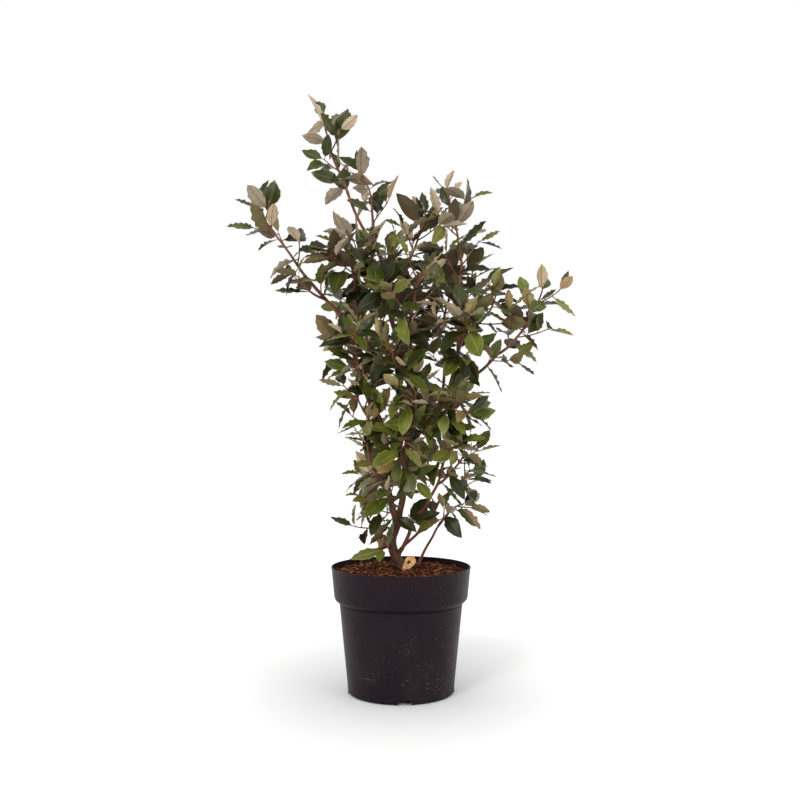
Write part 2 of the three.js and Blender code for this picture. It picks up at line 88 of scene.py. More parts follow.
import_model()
CAD_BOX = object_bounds()
POT_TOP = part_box("pot")[1]
SOIL_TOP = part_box("soil")[1]

MM = 0.001
TURN = 2 * math.pi


def tint(red, green, blue):
    """A colour as the eye names it, from 0 to 255, in the even steps of light that a shader counts in."""
    return tuple((c / 12.92 if c <= 0.04045 else ((c + 0.055) / 1.055) ** 2.4)
                 for c in (red / 255, green / 255, blue / 255))


def length(name, description, default):
    return bpy.props.FloatProperty(
        name=name, description=description, default=default, min=0, unit="LENGTH", precision=4)


def share(name, description, default):
    return bpy.props.FloatProperty(
        name=name, description=description, default=default, min=0, max=1, subtype="FACTOR")


def count(name, description, default):
    return bpy.props.IntProperty(name=name, description=description, default=default, min=1)


def colour(name, description, *levels):
    return bpy.props.FloatVectorProperty(
        name=name, description=description, default=tint(*levels), min=0, max=1, subtype="COLOR", size=3)


class PotSettings(bpy.types.PropertyGroup):
    """Sizes and finish of the nursery pot."""
    height: length("Height", "From the ground to the lip", POT_TOP.z)
    rim_radius: length("Rim radius", "Outside of the lip", POT_TOP.x)
    collar_radius: length("Collar radius", "Outside of the collar at its lower end", 0.110)
    collar_depth: length("Collar depth", "From the lip to the collar's lower end", 0.053)
    shoulder_drop: length("Shoulder drop", "Height of the slope from the collar to the body", 0.006)
    body_radius: length("Body radius", "Outside of the body under the shoulder", 0.1015)
    foot_radius: length("Foot radius", "Outside of the foot", 0.088)
    foot_band: length("Foot band", "Height of the upright band round the foot", 0.012)
    wall: length("Wall", "Thickness of the plastic", 0.0016)
    lip: length("Lip", "Height of the thicker lip", 0.003)
    plastic: colour("Plastic", "Colour of the clean plastic", 24, 12, 19)
    dust: colour("Dust", "Colour of the dust on it", 150, 140, 130)


class SoilSettings(bpy.types.PropertyGroup):
    """Sizes and colours of the compost and what lies on it."""
    edge_height: length("Edge height", "Height of the soil at the wall", 0.1975)
    roughness: length("Roughness", "How far the surface rises and falls", 0.0028)
    crumbs: count("Crumbs", "Dark crumbs for each square metre", 46000)
    chips: count("Chips", "Bark chips for each square metre", 23000)
    fibres: count("Fibres", "Pale fibres for each square metre", 6500)
    dark: colour("Dark", "Colour of the damp compost", 52, 26, 14)
    wet: colour("Wet", "Colour of the wettest compost", 84, 42, 24)
    red: colour("Red", "Colour of the bark chips", 112, 62, 40)
    straw: colour("Straw", "Colour of the palest chips and fibres", 190, 140, 94)


class BarkSettings(bpy.types.PropertyGroup):
    """Relief and colours of the trunk, the boughs and the twigs."""
    sides: count("Sides", "Faces round a limb", 16)
    step: length("Step", "Length of a face along a limb", 0.003)
    relief: length("Relief", "Depth of the bark's ridges", 0.0011)
    old: colour("Old bark", "Colour of the trunk", 110, 76, 58)
    furrow: colour("Furrows", "Colour between the trunk's ridges", 54, 34, 26)
    young: colour("Young bark", "Colour of the twigs", 124, 76, 54)
    blush: colour("Blush", "Second colour of the twigs", 92, 56, 42)
    fleck: colour("Flecks", "Colour of the small pale flecks", 186, 160, 132)
    cut: colour("Cut wood", "Colour of the bare stub", 222, 182, 134)
    grain: colour("Cut grain", "Second colour of the bare stub", 160, 108, 60)
    pith: colour("Pith", "Colour of the hollow in the stub", 92, 58, 34)
    hollow: colour("Hollow", "Second colour of the hollow", 80, 44, 24)


class LeafSettings(bpy.types.PropertyGroup):
    """Sizes of the leaves and their spacing."""
    size: length("Length", "Length of a full leaf with its stalk", 0.063)
    internode: length("Spacing", "From leaf to leaf along a twig", 0.0140)


class StageSettings(bpy.types.PropertyGroup):
    """The studio round the plant."""
    floor: colour("Floor", "Colour of the floor", 254, 254, 254)
    fade: share("Fade", "Light that the floor gives off away from the pot", 0.12)
    # The shade is painted shade: the floor's colour is darker in a soft patch round and behind the pot.
    shade: share("Shade", "How much darker the floor is where the soft shade is deepest", 0.15)
    distance: length("Distance", "From the camera to the pot's axis", 1.799)
    eye: length("Eye height", "Height of the camera above the floor", 0.481)
    aside: length("Aside", "How far left of the axis the camera stands", 0.00165)


# Meshes and pieces

def mesh_object(name, points, faces, smooth=True):
    """A linked object with its mesh. Its faces are turned to point out, whichever way they were listed."""
    mesh = bpy.data.meshes.new(name)
    mesh.from_pydata([tuple(p) for p in points], [], faces)
    if signed_volume(mesh) < 0:
        mesh.flip_normals()
    mesh.polygons.foreach_set("use_smooth", [smooth] * len(mesh.polygons))
    mesh.update()
    return linked(name, mesh)


def linked(name, mesh):
    made = bpy.data.objects.new(name, mesh)
    bpy.context.scene.collection.objects.link(made)
    return made


def signed_volume(mesh):
    mesh.calc_loop_triangles()
    corners = np.array([[mesh.vertices[v].co[:] for v in t.vertices] for t in mesh.loop_triangles])
    return float(np.einsum("ij,ij->i", corners[:, 0], np.cross(corners[:, 1], corners[:, 2])).sum() / 6)


def settled(name, source):
    """A plain object with what the source's modifiers make. The source is removed."""
    graph = bpy.context.evaluated_depsgraph_get()
    mesh = bpy.data.meshes.new_from_object(
        source.evaluated_get(graph), preserve_all_data_layers=True, depsgraph=graph)
    bpy.data.objects.remove(source)
    mesh.name = name
    return linked(name, mesh)


def grown(name, source, tree, values):
    """What a tree of geometry nodes makes of the source, as a plain object."""
    modifier = source.modifiers.new("growth", "NODES")
    modifier.node_group = tree
    for item in tree.interface.items_tree:
        if item.in_out == "INPUT" and item.name in values:
            modifier[item.identifier] = values[item.name]
    bpy.context.view_layer.update()
    return settled(name, source)


def hand_over(piece, slot, *nodes):
    """Makes the piece ride with the plant and stand for its solids."""
    if not piece.data.polygons:
        raise RuntimeError(f"{piece.name} has no faces")
    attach(piece, "root")
    if nodes:
        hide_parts(*nodes)


# Node trees

def plug(sockets, key):
    """The live socket of that name, or in that place."""
    live = [socket for socket in sockets if socket.enabled]
    return live[key] if isinstance(key, int) else next(socket for socket in live if socket.name == key)


class Wiring:
    """Adds nodes to a tree and joins them."""

    def __init__(self, tree):
        self.tree = tree

    def add(self, kind, inputs=(), **settings):
        """The new node. Its inputs are fed with values, sockets or the first output of other nodes."""
        node = self.tree.nodes.new(kind)
        for name, value in settings.items():
            setattr(node, name, value)
        for key, value in dict(inputs).items():
            self.feed(plug(node.inputs, key), value)
        return node

    def feed(self, socket, value):
        if isinstance(value, bpy.types.Node):
            value = plug(value.outputs, 0)
        if isinstance(value, bpy.types.NodeSocket):
            self.tree.links.new(value, socket)
        elif socket.type == "RGBA" and len(value) == 3:
            socket.default_value = (*value, 1)
        else:
            socket.default_value = value

    def math(self, operation, *values):
        return self.add("ShaderNodeMath", dict(enumerate(values)), operation=operation)

    def times(self, a, b):
        return self.math("MULTIPLY", a, b)

    def vector(self, operation, *values):
        return self.add("ShaderNodeVectorMath", dict(enumerate(values)), operation=operation)

    def split(self, vector):
        return self.add("ShaderNodeSeparateXYZ", {"Vector": vector}).outputs

    def join(self, x, y, z):
        return self.add("ShaderNodeCombineXYZ", {"X": x, "Y": y, "Z": z})

    def blend(self, factor, a, b):
        return self.add("ShaderNodeMix", {"Factor": factor, "A": a, "B": b}, data_type="RGBA")

    def between(self, value, low, high, to_low=0.0, to_high=1.0):
        return self.add("ShaderNodeMapRange", {
            "Value": value, "From Min": low, "From Max": high, "To Min": to_low, "To Max": to_high})

    def noise(self, vector, scale, detail, roughness):
        return self.add("ShaderNodeTexNoise", {
            "Vector": vector, "Scale": scale, "Detail": detail, "Roughness": roughness})

    def bump(self, strength, depth, height):
        return self.add("ShaderNodeBump", {"Strength": strength, "Distance": depth, "Height": height})

    def group(self, build, **inputs):
        """A node with the shared group that build makes."""
        return self.add("ShaderNodeGroup", inputs, node_tree=build())

    def geometry(self, kind, inputs=(), **settings):
        return self.add(f"GeometryNode{kind}", inputs, **settings)

    def attribute(self, name, kind="FLOAT"):
        return self.geometry("InputNamedAttribute", {"Name": name}, data_type=kind)

    def store(self, mesh, name, value, kind="FLOAT"):
        return self.geometry("StoreNamedAttribute", {"Geometry": mesh, "Name": name, "Value": value},
                             data_type=kind, domain="POINT")

    def finish(self, result, mesh, skin):
        """Ends a tree of geometry nodes: its instances become a mesh, which gets its material."""
        mesh = self.geometry("RealizeInstances", {"Geometry": mesh})
        self.feed(result["Geometry"], self.geometry("SetMaterial", {"Geometry": mesh, "Material": skin}))
        return self.tree


def new_tree(name, kind, inputs, outputs):
    """A node tree with named sockets, its wiring, and the sockets where it is entered and left."""
    tree = bpy.data.node_groups.new(name, kind)
    for way, sockets in (("INPUT", inputs), ("OUTPUT", outputs)):
        for socket_name, socket_kind in sockets.items():
            tree.interface.new_socket(name=socket_name, in_out=way, socket_type=f"NodeSocket{socket_kind}")
    wiring = Wiring(tree)
    return wiring, wiring.add("NodeGroupInput").outputs, wiring.add("NodeGroupOutput").inputs


def shader_tree(name, outputs, **inputs):
    return new_tree(name, "ShaderNodeTree", {"Vector": "Vector", **inputs}, outputs)


def geometry_tree(name, **inputs):
    return new_tree(name, "GeometryNodeTree", {"Geometry": "Geometry", **inputs}, {"Geometry": "Geometry"})


@cache
def mottle():
    """Two colours in soft clouds, with finer clouds inside them."""
    wiring, given, result = shader_tree(
        "Mottle", {"Colour": "Color", "Grain": "Float"},
        Colour="Color", Other="Color", Scale="Float", Spread="Float")
    clouds = wiring.noise(given["Vector"], given["Scale"], 6.0, 0.62)
    low, high = (wiring.math(way, 0.5, given["Spread"]) for way in ("SUBTRACT", "ADD"))
    mask = wiring.between(clouds, low, high)
    wiring.feed(result["Colour"], wiring.blend(mask, given["Colour"], given["Other"]))
    wiring.feed(result["Grain"], clouds)
    return wiring.tree


@cache
def specks():
    """Round flecks scattered over a surface. Share says how many of the places for one are taken."""
    wiring, given, result = shader_tree(
        "Specks", {"Mask": "Float"}, Scale="Float", Size="Float", Share="Float")
    cells = wiring.add("ShaderNodeTexVoronoi", {"Vector": given["Vector"], "Scale": given["Scale"]}).outputs
    chance = wiring.split(cells["Color"])
    taken = wiring.math("LESS_THAN", chance["X"], given["Share"])
    inside = wiring.math("LESS_THAN", cells["Distance"], wiring.times(given["Size"], chance["Y"]))
    wiring.feed(result["Mask"], wiring.times(taken, inside))
    return wiring.tree


@cache
def relief():
    """Small unevenness of a surface, as a normal."""
    wiring, given, result = shader_tree("Relief", {"Normal": "Vector"}, Scale="Float", Depth="Float")
    grain = wiring.noise(given["Vector"], given["Scale"], 5.0, 0.6)
    wiring.feed(result["Normal"], wiring.bump(1.0, given["Depth"], grain))
    return wiring.tree


def material(name, paint):
    """A material whose Principled shader is fed with what paint makes in its tree."""
    made = bpy.data.materials.new(name)
    made.use_nodes = True
    wiring = Wiring(made.node_tree)
    place = wiring.add("ShaderNodeTexCoord").outputs["Object"]
    shader = made.node_tree.nodes["Principled BSDF"]
    for key, value in paint(wiring, place).items():
        wiring.feed(shader.inputs[key], value)
    return made


NOISE_SPAN = (0.3, 0.7)  # where most of a noise's values lie
# Scale and spread of a finish's clouds, least and most roughness, scale and depth of its grain, and gloss.
Finish = namedtuple("Finish", "scale spread roughness grain depth gloss", defaults=[0.25])
FINISHES = {
    "top": Finish(34, 0.14, (0.28, 0.44), 480, 0.00025, 0.26),
    "under": Finish(90, 0.2, (0.55, 0.7), 900, 0.0002),
    "rib": Finish(60, 0.2, (0.42, 0.6), 700, 0.0001),
    "rim": Finish(90, 0.14, (0.4, 0.5), 480, 0.0001),
    "compost": Finish(240, 0.12, (0.8, 1.0), 700, 0.0012, 0.05),
    "litter": Finish(160, 0.2, (0.75, 0.95), 1400, 0.0004, 0.06),
    "cut_wood": Finish(160, 0.16, (0.7, 0.9), 900, 0.0005),
    "pith": Finish(300, 0.2, (0.8, 0.95), 900, 0.0005),
}


def mottled(name, finish, main, other):
    """A surface in two close colours with a fine grain, in one of the finishes."""
    f = FINISHES[finish]

    def paint(wiring, place):
        clouds = wiring.group(mottle, Vector=place, Colour=main, Other=other, Scale=f.scale, Spread=f.spread)
        return {
            "Base Color": clouds.outputs["Colour"],
            "Roughness": wiring.between(clouds.outputs["Grain"], *NOISE_SPAN, *f.roughness),
            "Specular IOR Level": f.gloss,
            "Normal": wiring.group(relief, Vector=place, Scale=f.grain, Depth=f.depth),
        }
    return material(name, paint)


# How the plant grows

# A limb starts at a place on the soil, or on another limb at a share of that one's length. It ends at its
# tip, its middle bows out by bow from a straight line, and its radius tapers from the first figure to the
# second. Flare is how much thicker it starts.
Limb = namedtuple("Limb", "parent place tip bow radius flare", defaults=[0])
LIMBS = {
    "trunk": Limb("soil", (1, 24), (-8, 22, 272), (-10, 0, -2), (8.8, 6.6), 0.5),
    "left_leader": Limb("trunk", 1, (-33, 8, 441), (-5, 0, 0), (5.6, 4.8)),
    "left_bough": Limb("left_leader", 1, (-97, -12, 620), (-5, 0, 0), (4.7, 3.2)),
    "left_arm": Limb("left_bough", 1, (-159, -20, 686), (2, 0, -4), (3.1, 2.6)),
    "inner_left_bough": Limb("left_bough", 0.72, (-74, -38, 660), (8, -6, -6), (2.9, 2.3)),
    "centre_leader": Limb("trunk", 0.9, (2, 10, 464), (13, 2, 4), (5.6, 4.8)),
    "tall_bough": Limb("centre_leader", 1, (-46, 5, 759), (9, -2, 0), (4.7, 3)),
    "top_fork": Limb("tall_bough", 0.93, (-82, -8, 806), (-3, -2, -4), (2.6, 2.2)),
    "right_bough": Limb("centre_leader", 0.72, (85, -8, 512), (7, 0, -4), (4, 3.4)),
    "right_upright": Limb("right_bough", 1, (94, -10, 650), (4, 0, -4), (3, 2.5)),
    "right_arm": Limb("right_bough", 0.92, (157, -25, 556), (3, 0, -8), (2.8, 2.3)),
    "shoulder_shoot": Limb("right_upright", 0.5, (119, -20, 599), (1, 0, -3), (2, 1.8)),
    "inner_right_bough": Limb("tall_bough", 0.68, (8, -8, 697), (3, 0, -3), (2.6, 2.1)),
    "front_bough": Limb("centre_leader", 0.94, (11, -62, 592), (6, -18, -10), (3, 2.2)),
    "back_right_bough": Limb("right_bough", 0.6, (67, 46, 590), (8, 8, -12), (2.7, 2.2)),
    "back_left_bough": Limb("left_leader", 0.85, (-52, 84, 560), (-2, 16, -14), (3, 2.3)),
    "back_bough": Limb("centre_leader", 0.9, (14, 92, 566), (4, 20, -14), (3, 2.3)),
    "right_stem": Limb("trunk", 0.25, (18, 2, 283), (3, -3, -8), (3.4, 2.9)),
    "right_stem_top": Limb("right_stem", 1, (66, -22, 360), (4, 0, -3), (2.8, 2.2)),
    "low_right_stem": Limb("trunk", 0.3, (66, 34, 313), (2, 4, -6), (2.6, 2.1)),
    "low_left_twig": Limb("trunk", 0.4, (-38, 5, 262), (-2, -2, -3), (2, 1.7)),
    "low_front_twig": Limb("right_stem", 0.8, (-8, -26, 292), (0, -3, -3), (2, 1.7)),
    "sucker": Limb("soil", (30, 50), (62, 38, 268), (-2, 0, -2), (2.5, 1.8), 0.3),
}
STUB_FOOT, STUB_TIP, STUB_RADIUS = (6, -3), (14, -8, 214), (5.6, 8.4)
# The dead twig leans from the trunk to the rim: its end on the rim, its end at the trunk, and its bow.
DEAD_TWIG = ((-66, 93, 209), (-13, 18, 243), (0, 0, 1.5))
DEAD_TWIG_RADIUS, DEAD_TWIG_POINTS = (1.9, 2.6), 10

# A mass of foliage carries on from a limb. Its stem runs to tip and bows as a limb does, and bears so many
# side shoots of about the given length. Where the sky shows through it, its leaves are spaced wider than
# usual by spacing. Some have a few leafy spurs below, on the limb that bears them.
Mass = namedtuple("Mass", "parent place tip bow shoots length spacing below", defaults=[1, 0])
MASSES = {
    "left_tip": Mass("left_arm", 1, (-230, -38, 790), (4, 0, -8), 4, 36, 1.3),
    "left_shoulder": Mass("left_arm", 0.4, (-162, -64, 678), (0, -4, -8), 2, 28, 2.0),
    "inner_left": Mass("inner_left_bough", 1, (-92, -50, 728), (4, 0, -2), 4, 40),
    "tall_tip": Mass("top_fork", 1, (-128, -14, 946), (-4, 0, 0), 4, 32, 1.5),
    "second_tip": Mass("tall_bough", 1, (-66, 8, 858), (6, 0, 0), 3, 30, 1.7),
    "crown_middle": Mass("tall_bough", 0.62, (-48, -50, 712), (0, -14, -10), 4, 46),
    "crown_back": Mass("tall_bough", 0.56, (-26, 72, 742), (0, 14, -12), 4, 46, 1.5),
    "inner_right": Mass("inner_right_bough", 1, (40, -18, 772), (-2, 0, -4), 4, 42, 1.9),
    "right_top": Mass("right_upright", 1, (71, -12, 826), (12, 0, 6), 6, 36, 2.4),
    "upright_back": Mass("right_upright", 0.7, (122, 52, 704), (0, 10, -8), 3, 38, 1.3),
    "shoulder": Mass("shoulder_shoot", 1, (156, -34, 650), (4, 0, -4), 3, 38, 1.3),
    "right_tip": Mass("right_arm", 1, (230, -38, 658), (6, 0, -8), 5, 44, 1.3, 2),
    "front_top": Mass("front_bough", 1, (34, -78, 684), (-2, -2, 0), 4, 46, 1.2),
    "back_right": Mass("back_right_bough", 1, (84, 74, 692), (2, 6, 0), 4, 46, below=3),
    "back_left": Mass("back_left_bough", 1, (-72, 106, 664), (0, 8, 0), 4, 46, below=4),
    "back_top": Mass("back_bough", 1, (14, 118, 676), (0, 8, 0), 4, 46, below=4),
    "left_middle": Mass("left_leader", 0.88, (-74, -52, 502), (-4, -6, -8), 4, 40, 1.5),
    "middle_left": Mass("left_bough", 0.3, (-76, -64, 584), (0, -8, -8), 4, 40),
    "left_outer": Mass("left_bough", 0.5, (-110, 8, 580), (-2, 2, -4), 2, 28, 1.7),
    "centre_front": Mass("tall_bough", 0.15, (-14, -78, 566), (0, -12, -8), 4, 44),
    "centre_low": Mass("centre_leader", 0.8, (22, -76, 496), (4, -12, -10), 4, 44),
    "middle_right": Mass("right_upright", 0.35, (100, -72, 604), (0, -10, -8), 4, 40),
    "right_middle": Mass("right_bough", 0.55, (88, -60, 474), (0, -10, -8), 4, 40),
    "back_middle": Mass("centre_leader", 0.7, (52, 84, 480), (2, 10, -12), 4, 46),
    "back_low": Mass("left_leader", 0.4, (-34, 84, 410), (-2, 10, -10), 4, 44),
    "low_centre": Mass("centre_leader", 0.5, (0, -56, 416), (0, -10, -10), 4, 40, 1.2),
    "left_low": Mass("left_leader", 0.45, (-56, -14, 408), (-6, -2, -4), 3, 32, 1.8),
    "right_low": Mass("right_stem_top", 1, (66, -34, 450), (8, 0, 0), 4, 36, 1.2),
    "right_side": Mass("right_stem_top", 0.8, (106, -30, 398), (2, 0, -6), 2, 34, 1.3),
    "low_right": Mass("low_right_stem", 1, (118, 42, 364), (2, 2, -4), 3, 38, 1.8, 1),
    "low_left": Mass("low_left_twig", 1, (-62, -14, 322), (-8, 0, -4), 2, 30, 1.3, 2),
    "low_front": Mass("low_front_twig", 1, (-26, -46, 330), (0, -2, -2), 2, 32, 1.6, 2),
    "sucker_top": Mass("sucker", 1, (104, 30, 306), (0, -2, 8), 2, 32, 1.4),
}
MASS_NODES = [f"{name}_foliage" for name in MASSES]
LEAF_SEED = 3250  # seed of the first mass's leaves; each mass takes the next
FINER_SEED = 400  # added to the seed of a mass for the twigs that its solid lacks
OPEN = 1.15  # a mass whose leaves are spaced wider than this bears no finer twigs

SOIL_LEVEL = SOIL_TOP.z / MM
FLARE_FALL = 12  # how fast the flare of a foot dies away along a limb
FOOT_DEPTH = 8  # how far a foot runs on below the soil
INSIDE = (16, 8)  # how far back along its bearer the first points of a limb lie
INSIDE_RADIUS, BEARER_RADIUS = 1.15, 0.92  # most radius there, over the limb's own and over the bearer's
FORK_GAP = 5  # the points of a limb itself begin this far along it
COLLAR_SWELL, COLLAR_FALL = 0.3, 9  # the swelling at a fork, and the millimetres in which it dies away
LIMB_STEP, TWIG_STEP = 11, 6  # from point to point along a limb or a twig
JOINT_SWELL, JOINT_WIDTH = 0.28, 1.6  # of the joints that bear leaves
SOURCE_INTERNODE = 17  # spacing of the leaves on the solids, whose random draws the side shoots follow
FIRST_ON_STEM, FIRST_ON_SHOOT = 0.12, 0.4  # the share of a twig's length that is bare, on the solids
BARE_SHOOT, BARE_TWIG, BARE_SPUR, BARE_LOW_SPUR = 0.3, 0.45, 0.5, 0.4
SHOOT_ANGLE, TWIG_ANGLE, SPUR_ANGLE = 52, 44, 58
SHOOT_RISE, SHOOT_BOW = 0.25, -0.05
SHOOT_PLACES, SHOOT_SIZES = (0.16, 0.82), (1.15, 0.7)  # from the first side shoot of a stem to the last
SHOOT_VARIES = (0.8, 0.4)  # such a pair is the least value, and how much a draw may add to it
TWIG_PLACE, TWIG_LENGTH = (0.35, 0.3), (0.4, 0.25)
SPUR_AHEAD, SPUR_SCATTER, SPUR_LENGTH = 0.08, 0.06, (0.3, 0.25)
LOW_SPUR_START, LOW_SPUR_STEP, LOW_SPUR_LENGTH = 14, 19, (26, 12)
STEM_RADIUS, SHOOT_RADIUS, TWIG_RADIUS = (2.4, 1.25), (1.25, 0.8), (0.95, 0.7)
REACH = 38  # how far past the length of its side shoots a mass keeps its leaves from its stem
TIP_SHARE = 0.985  # how far along its twig the last leaf stands
LIMB_SAMPLE, TWIG_SAMPLE = 5, 4  # from point to point of the wood that leaves are kept clear of
STEM_SAMPLES, BOW_SAMPLES = 13, 201
UPRIGHT = 0.8  # a curve that rises more than this for its length is taken as upright
X_AXIS = Vector((1, 0, 0))
Z_AXIS = Vector((0, 0, 1))


def mix(a, b, part):
    return a + (b - a) * part


def vary(least_and_more, chance):
    """The least value at a chance of 0, and all of the rest added at 1."""
    return least_and_more[0] + least_and_more[1] * chance


def smooth_step(value, low, high):
    part = min(1.0, max(0.0, (value - low) / (high - low)))
    return part * part * (3 - 2 * part)


def seeded(seed):
    """A seeded run of numbers from 0 to 1, the same as the solids are grown by."""
    state = seed * 7919

    def draw():
        nonlocal state
        state = (state * 1664525 + 1013904223) % 4294967296
        return state / 4294967296

    for _ in range(3):
        draw()
    return draw


class Bow:
    """A curve whose middle stands off the straight line from start to end, measured along its length."""

    def __init__(self, start, end, bow=(0, 0, 0)):
        self.start, self.end = Vector(start), Vector(end)
        self.middle = (self.start + self.end) / 2 + 2 * Vector(bow)
        self.shares = np.linspace(0, 1, BOW_SAMPLES)
        points = np.array([self.at(t)[:] for t in self.shares])
        steps = np.linalg.norm(np.diff(points, axis=0), axis=1)
        self.lengths = np.concatenate([[0], np.cumsum(steps)])
        self.length = float(self.lengths[-1])

    def at(self, t):
        return self.start * (1 - t) ** 2 + self.middle * (2 * t * (1 - t)) + self.end * t ** 2

    def even(self, part):
        return float(np.interp(part * self.length, self.lengths, self.shares))

    def point(self, part):
        return self.at(self.even(part))

    def tangent(self, part):
        t = self.even(part)
        return ((self.middle - self.start) * (1 - t) + (self.end - self.middle) * t).normalized()

    def sideways(self, part, angle):
        """A unit vector square to the curve, at an angle that is counted from the same side all along it."""
        axis = self.tangent(part)
        upright = abs((self.end - self.start).normalized().z) > UPRIGHT
        across = axis.cross(X_AXIS if upright else Z_AXIS).normalized()
        return across * math.cos(angle) + axis.cross(across) * math.sin(angle)


@cache
def limb_curve(name):
    limb = LIMBS[name]
    on_soil = limb.parent == "soil"
    start = (*limb.place, SOIL_LEVEL) if on_soil else limb_curve(limb.parent).point(limb.place)
    return Bow(start, limb.tip, limb.bow)


def limb_radius(name, part):
    limb = LIMBS[name]
    return mix(*limb.radius, part) * (1 + limb.flare * math.exp(-FLARE_FALL * part))


def wander(point):
    """The small crookedness of all that grows, as a shift that depends on the place alone."""
    x, y, z = point
    shift = Vector((
        1.7 * math.sin(z / 21 + y / 37) + 0.8 * math.sin(z / 8.5 + 1.7 + x / 19),
        1.7 * math.sin(z / 24 + x / 33 + 2.1) + 0.8 * math.sin(z / 9.3 + y / 17),
        0.8 * math.sin(x / 14 + y / 16)))
    return Vector(point) + shift * smooth_step(z, SOIL_LEVEL, SOIL_LEVEL + 60)


def limb_path(name):
    """Points and radii of a limb. It begins inside its bearer, and swells where it comes out."""
    limb, curve = LIMBS[name], limb_curve(name)
    points, radii = [], []
    on_soil = limb.parent == "soil"
    if on_soil:
        points.append(curve.start - curve.tangent(0) * FOOT_DEPTH)
        radii.append(limb_radius(name, 0))
    else:
        bearer = limb_curve(limb.parent)
        most = min(limb.radius[0] * INSIDE_RADIUS, BEARER_RADIUS * limb_radius(limb.parent, limb.place))
        for back in INSIDE:
            points.append(bearer.point(max(0, limb.place - back / bearer.length)))
            radii.append(most)
    steps = max(3, round(curve.length / LIMB_STEP))
    for step in range(steps + 1):
        part = step / steps
        along = part * curve.length
        if on_soil or along >= FORK_GAP:
            swelling = 0 if on_soil else COLLAR_SWELL * math.exp(-along / COLLAR_FALL)
            points.append(curve.point(part))
            radii.append(limb_radius(name, part) * (1 + swelling))
    return points, radii


def dead_twig_path():
    """Points and radii of the dead twig that leans on the rim."""
    curve = Bow(*DEAD_TWIG)
    parts = np.linspace(0, 1, DEAD_TWIG_POINTS)
    return [curve.point(part) for part in parts], [mix(*DEAD_TWIG_RADIUS, part) for part in parts]


def skip_leaf_draws(curve, first, draw):
    """Draws what the leaves of the solids drew, so that the side shoots after them come out the same."""
    leaves = max(2, math.floor(curve.length * (1 - first) / SOURCE_INTERNODE + 0.5)) + 2
    for _ in range(1 + 4 * leaves):
        draw()


def side_shoot(curve, part, side, size, angle=SHOOT_ANGLE):
    """A shoot that leaves one of three sides of its bearer at an angle, and turns up as it grows."""
    away = curve.tangent(part) * math.cos(math.radians(angle))
    away += curve.sideways(part, side * TURN / 3) * math.sin(math.radians(angle))
    start = curve.point(part)
    return Bow(start, start + (away + Z_AXIS * SHOOT_RISE) * size, (0, 0, SHOOT_BOW * size))


class Shoot:
    """A twig: its line, its radius at both ends, the share of it that is bare, and its leaves' places."""

    def __init__(self, curve, radius, bare):
        self.curve, self.radius, self.bare = curve, radius, bare
        self.nodes = []


def mass_shoots(name):
    """The stem and side shoots of a mass, as its solid has them, and the finer twigs that they bear."""
    mass = MASSES[name]
    seed = 1 + list(MASSES).index(name)
    draw, finer = seeded(seed), seeded(seed + FINER_SEED)
    limb = limb_curve(mass.parent)
    stem = Bow(limb.point(mass.place), mass.tip, mass.bow)
    skip_leaf_draws(stem, FIRST_ON_STEM, draw)
    first_side = math.floor(3 * draw())
    shoots = [Shoot(stem, STEM_RADIUS, FIRST_ON_STEM)]
    for n in range(mass.shoots):
        part = mix(*SHOOT_PLACES, n / max(1, mass.shoots - 1))
        size = mass.length * mix(*SHOOT_SIZES, part) * vary(SHOOT_VARIES, draw())
        curve = side_shoot(stem, part, first_side + n, size)
        skip_leaf_draws(curve, FIRST_ON_SHOOT, draw)
        shoots.append(Shoot(curve, SHOOT_RADIUS, BARE_SHOOT))
        if mass.spacing > OPEN:
            continue
        fork, side = vary(TWIG_PLACE, finer()), math.floor(3 * finer())
        twig = side_shoot(curve, fork, side, size * vary(TWIG_LENGTH, finer()), TWIG_ANGLE)
        shoots.append(Shoot(twig, TWIG_RADIUS, BARE_TWIG))
        place = part + SPUR_AHEAD + SPUR_SCATTER * finer()
        side = first_side + n + 1 + finer()
        spur = side_shoot(stem, place, side, size * vary(SPUR_LENGTH, finer()), SPUR_ANGLE)
        shoots.append(Shoot(spur, TWIG_RADIUS, BARE_SPUR))
    for n in range(mass.below):
        place = mass.place - (LOW_SPUR_START + LOW_SPUR_STEP * n) / limb.length
        side = 3 * finer()
        spur = side_shoot(limb, place, side, vary(LOW_SPUR_LENGTH, finer()), SPUR_ANGLE)
        shoots.append(Shoot(spur, TWIG_RADIUS, BARE_LOW_SPUR))
    return shoots


# Leaf kinds: colours of the upper side, the underside, its rib with the stalk, and the blade's rim. They are
# partly the leaves' own colours and partly painted light: the dark undersides of the darker kinds are painted
# shade, and the pale undersides of dusky and rosy are brightened with painted light from the front.
KINDS = {
    "deep": ((36, 41, 10), (86, 73, 48), (96, 68, 46), (66, 70, 28)),
    "dark": ((56, 63, 16), (109, 98, 63), (108, 78, 52), (86, 92, 36)),
    "mid": ((74, 82, 22), (130, 116, 77), (120, 86, 58), (104, 110, 44)),
    "fresh": ((98, 105, 34), (157, 143, 98), (140, 98, 64), (128, 133, 60)),
    "dusky": ((46, 52, 16), (154, 140, 116), (124, 82, 60), (80, 82, 42)),
    "rosy": ((66, 71, 27), (193, 175, 148), (142, 94, 70), (102, 102, 56)),
    "olive": ((112, 112, 50), (190, 171, 138), (152, 98, 68), (146, 142, 82)),
    "tan": ((132, 112, 64), (178, 150, 112), (146, 90, 58), (158, 134, 86)),
}
